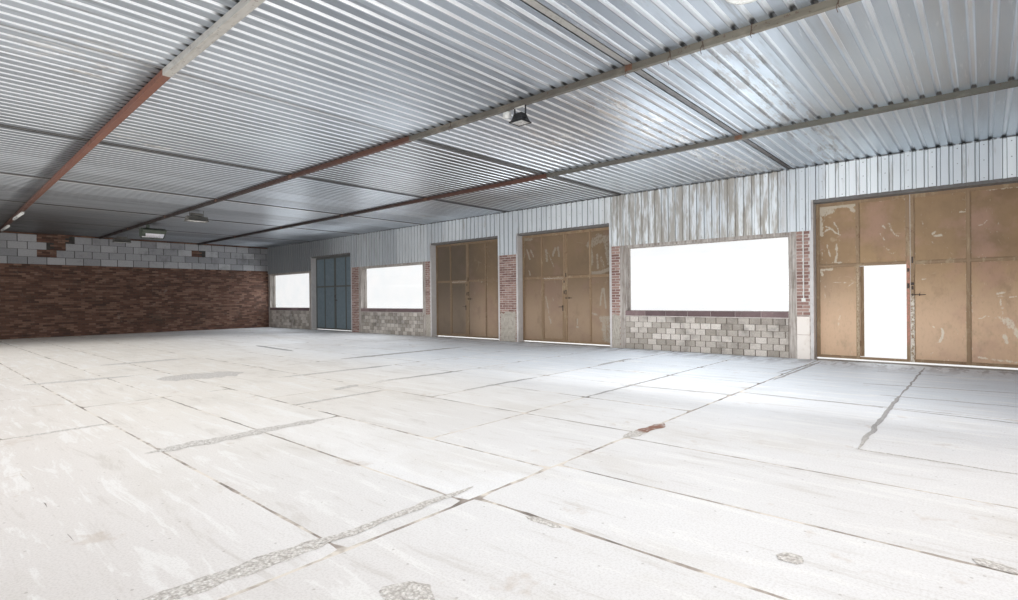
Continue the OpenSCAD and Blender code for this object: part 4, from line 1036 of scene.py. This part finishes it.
BOARD_CELL, COARSE, WAVE, WAVE_EDGE, EDGE_RUB, RUB_WIDTH = 0.014, (10, 16), 0.0022, 0.1, 0.42, 0.035


def board(soup, place, x, z, inner, tint, seed, fine):
    """One board's skin: a slightly wavy sheet whose points know how rubbed they are."""
    y = BOARD_IN + 0.0025 if inner else BOARD_OUT - 0.0025
    n = place.out(inner)
    turn = -1 if place.way(1, 0, 0).cross(Z).dot(n) < 0 else 1
    nx, nz = (int((end - start) / BOARD_CELL) for start, end in (x, z)) if fine else COARSE
    start, points = len(soup.points), []
    for j in range(nz + 1):
        for i in range(nx + 1):
            px, pz = x[0] + (x[1] - x[0]) * i / nx, z[0] + (z[1] - z[0]) * j / nz
            edge = min(px - x[0], x[1] - px, pz - z[0], z[1] - pz)
            wave = noise.noise(Vector((px * 2.3, pz * 1.9, seed))) * WAVE * min(1, edge / WAVE_EDGE)
            point = place.point(px, y, pz)
            worn = EDGE_RUB * max(0.0, 1 - edge / RUB_WIDTH)
            soup.rubs[start + len(points)] = max(worn, marked(point) if fine else 0.0)
            points.append(point + n * wave)
    corners = [j * (nx + 1) + i for j in range(nz) for i in range(nx)]
    soup.shell(points, [(a, a + 1, a + nx + 2, a + nx + 1)[::turn] for a in corners], tint)


def beads(soup, place, x, z, inner):
    """Thin strips round a field, on the face of the board."""
    n = place.out(inner)
    u = Z.cross(n)
    low = min((place.point(end, BOARD_IN if inner else BOARD_OUT, z[0]) for end in x), key=u.dot)
    soup.border(low, u, n, (x[1] - x[0], z[1] - z[0]), 0.012, 0.009, 0.003, draw.random)


def plate(soup, place, x, z, size, inner=True, thick=0.006):
    """A plate on a leaf's frame: its middle at x and z, size along and up."""
    n = place.out(inner)
    u = Z.cross(n)
    low = place.point(x, LEAF_T if inner else 0, z) - u * (size[0] / 2) - Z * (size[1] / 2)
    soup.block(low, u, Z, n, (*size, thick), 0.002, draw.random(), True)


def dress(place, body, fields, look, bead_look, slot, fine):
    """Boards and beads on both faces of a leaf's or a wicket's fields."""
    skins, strips = Soup(), Soup()
    for number, (x, z) in enumerate(fields):
        for inner in (True, False):
            board(skins, place, x, z, inner, draw.random(), number + 7.3 * place.x0, fine and inner)
            beads(strips, place, x, z, inner)
    skins.piece(f"{body}_boards", look, body, slot, smooth=True)
    strips.piece(f"{body}_beads", bead_look, body, "grey_steel")


def handles(door, body, edge):
    """A plate with a handle on both faces of a wicket, near its free edge."""
    iron = Soup()
    for inner in (True, False):
        plate(iron, door, edge - 0.022, 1.29, (0.034, 0.17), inner)
        n, back = door.out(inner), door.way(-1, 0, 0)
        grip = door.point(edge - 0.022, LEAF_T + 0.005 if inner else -0.005, 1.33)
        bend = grip + n * 0.052
        iron.tube([grip, grip + n * 0.045, bend + back * 0.012, bend + back * 0.11], 0.008)
        iron.lathe(grip, [(0.0, 0.0), (0.016, 0.0), (0.016, 0.008), (0.009, 0.010)], 16, n)
    iron.piece(f"{body}_handle", IRON, body, "grey_steel")


draw = random.Random(3)
for gate in (1, 2, 3, 4):
    brown = gate < 4
    looks = (BOARD, BEAD, "gate_board") if brown else (BOARD_GREY, FRAME_GREY, "grey_gate")
    for side in (-1, 1):
        place = Place(gate, side)
        body = f"gate_{gate}_{'left' if side < 0 else 'right'}_leaf"
        mullion = place.width - WICKET_SIDE
        columns = ((STILE, mullion), (mullion + MULLION, place.width - STILE))
        rows = ((place.z0 + BOTTOM_RAIL, MID_RAIL), (MID_RAIL + MULLION, place.z1 - STILE))
        wicket = brown and side > 0
        fields = [(c, r) for c in columns for r in rows if not (wicket and (c, r) == (columns[1], rows[0]))]
        dress(place, body, fields, *looks, gate < 3)
        iron = Soup()
        edge = place.width - STILE / 2
        if side < 0:
            # the lock with its keeper, the long bolt and the upper one
            plate(iron, place, edge, 1.82, (0.050, 0.055), thick=0.012)
            plate(iron, place, edge, 1.74, (0.030, 0.070))
            start = place.point(edge + 0.026, LEAF_T + 0.014, 1.60)
            iron.tube([start, start + place.way(-0.24, 0, 0)], 0.007)
            for back in (0.03, 0.14):
                plate(iron, place, edge + 0.026 - back, 1.60, (0.018, 0.045), thick=0.022)
            plate(iron, place, edge, 2.30, (0.026, 0.13), thick=0.010)
        else:
            plate(iron, place, edge, 1.78, (0.036, 0.10), thick=0.008)
            plate(iron, place, edge, 2.10, (0.036, 0.07))
        iron.piece(f"{body}_lock", IRON, body, "grey_steel")
        if wicket:
            x0, x1 = mullion + MULLION + WICKET_GAP, place.width - STILE - WICKET_GAP
            z0, z1 = place.z0 + BOTTOM_RAIL + WICKET_GAP, MID_RAIL - WICKET_GAP
            door = Place(gate, side, 115 if gate == 1 else 0, (x0 - WICKET_GAP / 2, -0.014))
            body = f"gate_{gate}_wicket"
            field = [(low + WICKET_STILE, high - WICKET_STILE) for low, high in ((x0, x1), (z0, z1))]
            dress(door, body, [field], *looks, gate == 2)
            handles(door, body, x1)


# ---- window frames round the panes, in the reveals

frames = Soup()
for low, high in solids("window_panes"):
    for n, y in ((-Y, low.y), (Y, high.y)):
        u = Z.cross(n)
        start = Vector((low.x if u.x > 0 else high.x, y, low.z))
        frames.border(start, u, n, (high.x - low.x, high.z - low.z), 0.018, 0.016, 0.004)
frames.piece("window_frames", POST_STEEL, slot="grey_steel")


# ---- coats of render on the feet of three piers

def render_coat(soup, x0, x1, foot, top, seed):
    """A rough patch of render on the front wall's inner face: thick in the middle, torn at the top."""
    nx, nz, out = 12, 22, 0.020
    rows = []
    for j in range(nz + 1):
        row, b = [], j / nz
        for i in range(nx, -1, -1):
            a = i / nx
            x, z = x0 + (x1 - x0) * a, foot + (top - foot) * b
            torn = noise.noise(Vector((x * 6, seed, 1))) * 0.09 * b
            thick = min(1.0, max(0.0, min(a, 1 - a, (1 - b) * 2.5) * 3.2)) ** 0.5
            y = Y_FRONT + out * thick * (0.75 + 0.35 * noise.noise(Vector((x * 9, z * 9, seed))))
            row.append(Vector((x, y, z + torn)))
        rows.append(row)
    soup.sheet(rows, lambda j, i: 0.5 + 0.5 * noise.noise(Vector(((nx - 1 - i) * 0.7, j * 0.5, seed))))


PIERS = [box for box in solids("brick_piers") if box[1].y < 0 and box[0].x > X_LEFT and box[1].x < X_RIGHT]
coats = Soup()
for number, top in ((1, 1.14), (2, 1.18), (3, 1.05)):
    low, high = PIERS[number]
    render_coat(coats, low.x + 0.004, high.x - 0.004, low.z, top, number)
coats.piece("pier_render", RENDER, slot="concrete", smooth=True)


# ---- lamps in place of the source's plain ones

near_lamp, far_lamp = sorted(solids("floodlights"), key=lambda box: box[0].x)
housing, hoods, glass, mirrors, bulbs, bodies, tubes = (Soup() for _ in range(7))

# the floodlight under the middle beam: fins and a box of cast metal, a rim and a stirrup
low, high = near_lamp
middle, half = (low + high) / 2, (high - low) / 2
rim, top, width = low.z + 0.022, low.z + 0.125, 0.014
housing.rim(low, high, width, rim)
housing.sleeve([[Vector((middle.x + a * (half.x - 0.01) * wide, middle.y + b * (half.y - 0.01) * wide, z))
                 for a, b in ((-1, -1), (1, -1), (1, 1), (-1, 1))]
                for wide, z in ((1.0, rim), (0.84, rim + 0.03), (0.72, rim + 0.07), (0.64, top))],
               caps=(0, 3))
for k in range(7):
    housing.bar(middle.x - 0.06 + k * 0.02, middle.y, 0.0025, 0.055, top - 0.01, top + 0.016, 0.001)
for x in (middle.x - 0.100, middle.x + 0.100):
    housing.bar(x, middle.y, 0.003, 0.014, low.z + 0.05, high.z, 0.001)
    housing.lathe((x, middle.y, low.z + 0.06), [(0.0, -0.01), (0.013, -0.01), (0.013, 0.01), (0.0, 0.01)],
                  12, X)
bulbs.bar(middle.x, middle.y, 0.097, 0.014, high.z - 0.014, high.z, 0.002)
glass.lens((low.x + width, low.z + 0.006), (high.x - width, low.z + 0.006), low.y + width, high.y - width,
           0.004)

# the hooded lamp: its hood in the source's outline, its gear at one end, its glass in the open side
low, high = far_lamp
middle = (low + high) / 2
crest = high.z - 0.12
hood = [(middle.x + x, crest + z) for x, z in (
    (0.14, -0.36), (0.185, -0.29), (0.21, -0.18), (0.19, -0.10), (0.14, -0.045), (0.07, -0.012), (0, 0),
    (-0.11, -0.03), (-0.21, -0.09))]
hoods.prism(hood, low.y, high.y, shut=False)
start, slant = Vector(hood[-1]), Vector(hood[0]) - Vector(hood[-1])
for share, wide in ((0.0, 0.40), (0.94, 0.06)):
    a, b = start + slant * share, start + slant * (share + wide)
    lift = Vector((0.01, 0.02))
    hoods.prism([a, a + lift, b + lift, b], low.y, high.y)
lift = Vector((0.006, 0.010))
mirrors.lens(start + slant * 0.40 + lift, start + slant * 0.94 + lift, low.y + 0.03, high.y - 0.03, 0.02)
hoods.box((middle.x - 0.07, high.y - 0.10, crest - 0.30), (middle.x + 0.10, high.y + 0.05, crest - 0.01),
          0.02)
hoods.bar(middle.x, 0.035, 0.02, 0.05, crest - 0.05, high.z, 0.004)

for low, high in solids("ceiling_lamps"):
    middle = (low + high) / 2
    wide, deep = high.x - low.x, high.y - low.y
    if abs(wide - deep) < 0.01:
        # the opal disc
        bulbs.lathe((middle.x, middle.y, high.z),
                    [(wide / 2, 0.0), (wide / 2, -0.012), (wide * 0.49, -0.030), (wide * 0.45, -0.048),
                     (wide * 0.36, -0.062), (wide * 0.2, -0.069), (0.0, -0.070)], 48)
    elif wide < deep:
        # a lamp on rods: a spread housing, a rim, a bright glass and a brown ballast between the rods
        shoulder, rim, width = high.z - 0.20, low.z + 0.018, 0.02
        bodies.prism([(low.x + 0.01, rim), (high.x - 0.01, rim), (middle.x + wide * 0.32, rim + 0.05),
                      (middle.x + wide * 0.25, shoulder), (middle.x - wide * 0.25, shoulder),
                      (middle.x - wide * 0.32, rim + 0.05)], low.y + 0.01, high.y - 0.01)
        bodies.rim(low, high, width, rim)
        bulbs.lens((low.x + width, low.z + 0.012), (high.x - width, low.z + 0.012), low.y + width,
                   high.y - width, 0.020)
        for y in (middle.y - deep / 3, middle.y + deep / 3):
            bodies.tube([(middle.x, y, shoulder - 0.01), (middle.x, y, high.z)], 0.008, 10)
        bodies.bar(middle.x, middle.y, 0.05, 0.17, shoulder + 0.02, shoulder + 0.10, 0.008)
    else:
        # a tube fitting: tray, cover and end caps
        tray = high.z - 0.028
        tubes.box((low.x, low.y, tray), high, 0.003)
        bulbs.box((low.x + 0.03, low.y + 0.004, low.z), (high.x - 0.03, high.y - 0.004, tray), 0.012)
        for x in (low.x, high.x - 0.03):
            tubes.box((x, low.y, low.z - 0.001), (x + 0.03, high.y, tray), 0.006)

# the junction box on a wire beside the floodlight
at = (near_lamp[0] + near_lamp[1]) / 2 + X * 0.20
bulbs.bar(at.x, at.y + 0.055, 0.05, 0.035, 4.225, 4.315, 0.012)
hoods.tube([(at.x, at.y + 0.05, 4.31), (at.x, at.y + 0.045, 4.36)], 0.004)

housing = housing.piece("floodlight_housings", BLACK, slot="black_metal")
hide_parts("floodlights")
hoods.piece("lamp_hoods", HOOD_GREEN, slot="black_metal")
glass.piece("floodlight_glass", LAMP_GLASS, slot="white_enamel", smooth=True)
mirrors.piece("lamp_reflectors", REFLECTOR, slot="white_enamel", smooth=True)
bodies = bodies.piece("rod_lamps", LAMP_BODY, slot="white_enamel")
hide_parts("ceiling_lamps")
tubes.piece("tube_fittings", ENAMEL, slot="white_enamel")
bulbs.piece("lamp_covers", BULB, slot="white_enamel", smooth=True)


# ---- ceiling beams: wires and joint plates

draw = random.Random(9)
beams = solids("ceiling_beams")
mid_beam = min(beams, key=lambda box: abs(box[0].y + box[1].y))
wires, plates = Soup(), Soup()
y0, y1, z0, z1 = mid_beam[0].y - 0.004, mid_beam[1].y + 0.004, mid_beam[0].z - 0.004, mid_beam[1].z
for from_right in (25.57, 26.12, 26.5, 27.03, 27.81, 22.4, 20.9):
    x = X_RIGHT - from_right
    lean = draw.uniform(-0.015, 0.015)
    wires.tube([(x, y1, z1 + 0.012), (x + lean, y1, z0 + 0.02), (x + lean, y1 - 0.01, z0),
                (x, y0 + 0.01, z0), (x - lean, y0, z0 + 0.02), (x, y0, z1 - 0.004),
                (x, y0 - 0.02, z1 + 0.018)], 0.003, 6)
    wires.tube([(x, y1, z0 + 0.03), (x + 0.01, y1 + 0.012, z0 + 0.005), (x + 0.015, y1 + 0.014, z0 - 0.03),
                (x + 0.004, y1 + 0.012, z0 - 0.055 - draw.uniform(0, 0.03))], 0.003, 6)
wires.piece("beam_wires", RUST_WIRE, slot="grey_steel")
for low, high in beams + solids("primed_beams"):
    for x in GIRDERS:
        if low.x < x < high.x:
            half = draw.uniform(0.045, 0.07)
            # the beam by the rear wall runs out of line, so its box is wider than the beam
            slack = max(0.0, high.y - low.y - 0.091)
            lean = slack * (x - low.x) / (high.x - low.x)
            for y, n in ((low.y + slack - lean, -Y), (high.y - lean, Y)):
                u = Z.cross(n)
                plates.block(Vector((x, y, low.z + 0.008)) - u * half, u, Z, n,
                             (2 * half, high.z - low.z - 0.01, 0.006), 0.002, draw.random(), True)
plates.piece("beam_plates", RUST_PLATE, slot="primer_steel")


# ---- screws of the sheets, in every second rib's foot

def screws(soup, low, high, y, z, n):
    """A row of screws along x."""
    count = int((high.x - low.x - RIB_FOOT) / RIB)
    first = (low.x + high.x) / 2 - (count - 1) * RIB / 2
    for k in range(0, count, 2):
        soup.lathe((first + k * RIB, y, z),
                   [(0.011, 0.0), (0.011, 0.0015), (0.0065, 0.002), (0.0065, 0.007), (0.0, 0.008)], 6, n)


soup = Soup()
for node, n, sunk in (("front_lining", Y, 0), ("front_cladding", -Y, RIB_DEPTH), ("rear_lining", -Y, 0),
                      ("rear_cladding", Y, RIB_DEPTH)):
    for low, high in solids(node):
        face = (high.y if n.y > 0 else low.y) - n.y * sunk
        for level in (low.z + 0.05, (low.z + high.z) / 2, high.z - 0.09):
            screws(soup, low, high, face, level, n)
for node, sign in (("front_roof_sheets", -1), ("rear_roof_sheets", 1)):
    low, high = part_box(node)
    slope = math.atan2(high.z - low.z - RIB_DEPTH, high.y - low.y)
    normal = Vector((0, sign * math.sin(slope), math.cos(slope)))
    for share in (0.04, 0.27, 0.5, 0.73, 0.955):
        y = sign * (0.05 + (abs(low.y if sign < 0 else high.y) - 0.05) * share)
        z = high.z - RIB_DEPTH / math.cos(slope) - abs(y) * math.tan(slope) + 0.001
        screws(soup, low, high, y, z, normal)
soup.piece("sheet_screws", SCREW, slot="galvanised")


# ---- stage, light and camera

def stage_floor():
    """A plain pale floor that takes the hall's shadow and fades into the white ground further out."""
    reach, depth = 160, -0.002
    mesh = bpy.data.meshes.new("stage_floor")
    mesh.from_pydata([(x * reach, y * reach, depth) for x, y in ((-1, -1), (1, -1), (1, 1), (-1, 1))], [],
                     [(0, 1, 2, 3)])
    obj = bpy.data.objects.new("stage_floor", mesh)
    bpy.context.scene.collection.objects.link(obj)
    look = Look("stage_pale", 0.9)
    x, y = ((abs(place) - edge).most(0.0) for place, edge in zip(look.axes("XY"), (OUT_RIGHT, OUT_REAR)))
    fade = look.maths("SQRT", x * x + y * y).span(2.0, 11.0)
    look.link((1, 1, 1, 1), look.shader.inputs["Emission Color"])
    look.link(fade, look.shader.inputs["Emission Strength"])
    look.colour = look.ramp(look.noise(0.3, 2), (0.0, (0.80, 0.80, 0.79, 1)), (1.0, (0.84, 0.84, 0.83, 1)))
    look.coat(fade, (0, 0, 0, 1))
    mesh.materials.append(look.done())


stage_floor()

world = bpy.data.worlds.new("studio")
bpy.context.scene.world = world
world.use_nodes = True
tree = world.node_tree
tree.nodes.clear()
rays, seen, seen_all, lighting, shown, blend, out = (tree.nodes.new("ShaderNode" + kind) for kind in (
    "LightPath", "Math", "Math", "Background", "Background", "MixShader", "OutputWorld"))
seen.operation = seen_all.operation = "MAXIMUM"
for node, colour, strength in ((lighting, (0.93, 0.96, 1.0, 1), 0.55), (shown, (1, 1, 1, 1), 1.08)):
    node.inputs["Color"].default_value = colour
    node.inputs["Strength"].default_value = strength
for output, socket in ((rays.outputs["Is Camera Ray"], seen.inputs[0]),
                       (rays.outputs["Is Glossy Ray"], seen.inputs[1]),
                       (seen.outputs[0], seen_all.inputs[0]),
                       (rays.outputs["Is Transmission Ray"], seen_all.inputs[1]),
                       (seen_all.outputs[0], blend.inputs["Fac"]),
                       (lighting.outputs[0], blend.inputs[1]), (shown.outputs[0], blend.inputs[2]),
                       (blend.outputs[0], out.inputs["Surface"])):
    tree.links.new(output, socket)


def soft_lamp(name, place, towards, size, power, colour=(1, 1, 1)):
    lamp = bpy.data.lights.new(name, "AREA")
    lamp.shape = "RECTANGLE"
    lamp.size, lamp.size_y = size
    lamp.energy = power
    lamp.color = colour
    obj = bpy.data.objects.new(name, lamp)
    bpy.context.scene.collection.objects.link(obj)
    obj.location = place
    obj.rotation_euler = (Vector(towards) - Vector(place)).to_track_quat("-Z", "Y").to_euler()
    obj.visible_camera = False


soft_lamp("sky_above", (-6, -8, 24), (0, 0, FLOOR + 1.5), (30, 22), 4400)
soft_lamp("yard_day", (-2, -24, 12), (-2, -8, 1), (30, 10), 2000)
soft_lamp("gable_day", (X_LEFT + 0.15, 1.0, 2.4), (0, 0, 2.6), (12, 3.6), 300, (1.0, 0.99, 0.97))
soft_lamp("rear_day", (1.0, Y_REAR - 0.2, 2.6), (1.0, 0, 2.3), (22, 2.4), 340)
soft_lamp("floor_day", (-1.5, 0.8, 2.3), (-1.5, 0.8, 0), (23, 11), 440, (1.0, 0.995, 0.98))
soft_lamp("gate_day", (-11.2, -1.0, 2.3), (-11.2, -7.0, 2.2), (7, 2.4), 95, (1.0, 0.99, 0.97))
soft_lamp("foot_bounce", (-6.0, -6.0, FLOOR + 0.06), (-6.0, -6.3, 3), (17, 2.0), 90, (1.0, 0.98, 0.96))
for low, high in solids("window_panes"):
    middle = (low + high) / 2
    if middle.y < 0:
        soft_lamp(f"window_day_{round(middle.x)}", (middle.x, Y_FRONT + 0.05, middle.z),
                  (middle.x, 0, middle.z - 1.2), (high.x - low.x - 0.1, high.z - low.z - 0.1), 42,
                  (0.86, 0.93, 1.0))

camera = bpy.data.objects.new("camera", bpy.data.cameras.new("camera"))
bpy.context.scene.collection.objects.link(camera)
camera.location = (-13.8556, 6.0567, 1.6098)
camera.rotation_euler = Euler([math.radians(a) for a in (89.8163, 0.5802, -138.7239)])
camera.data.sensor_width = 36
camera.data.lens = 19.151
camera.data.clip_start = 0.05
camera.data.clip_end = 500
bpy.context.scene.camera = camera
bpy.context.scene.view_settings.view_transform = "Standard"
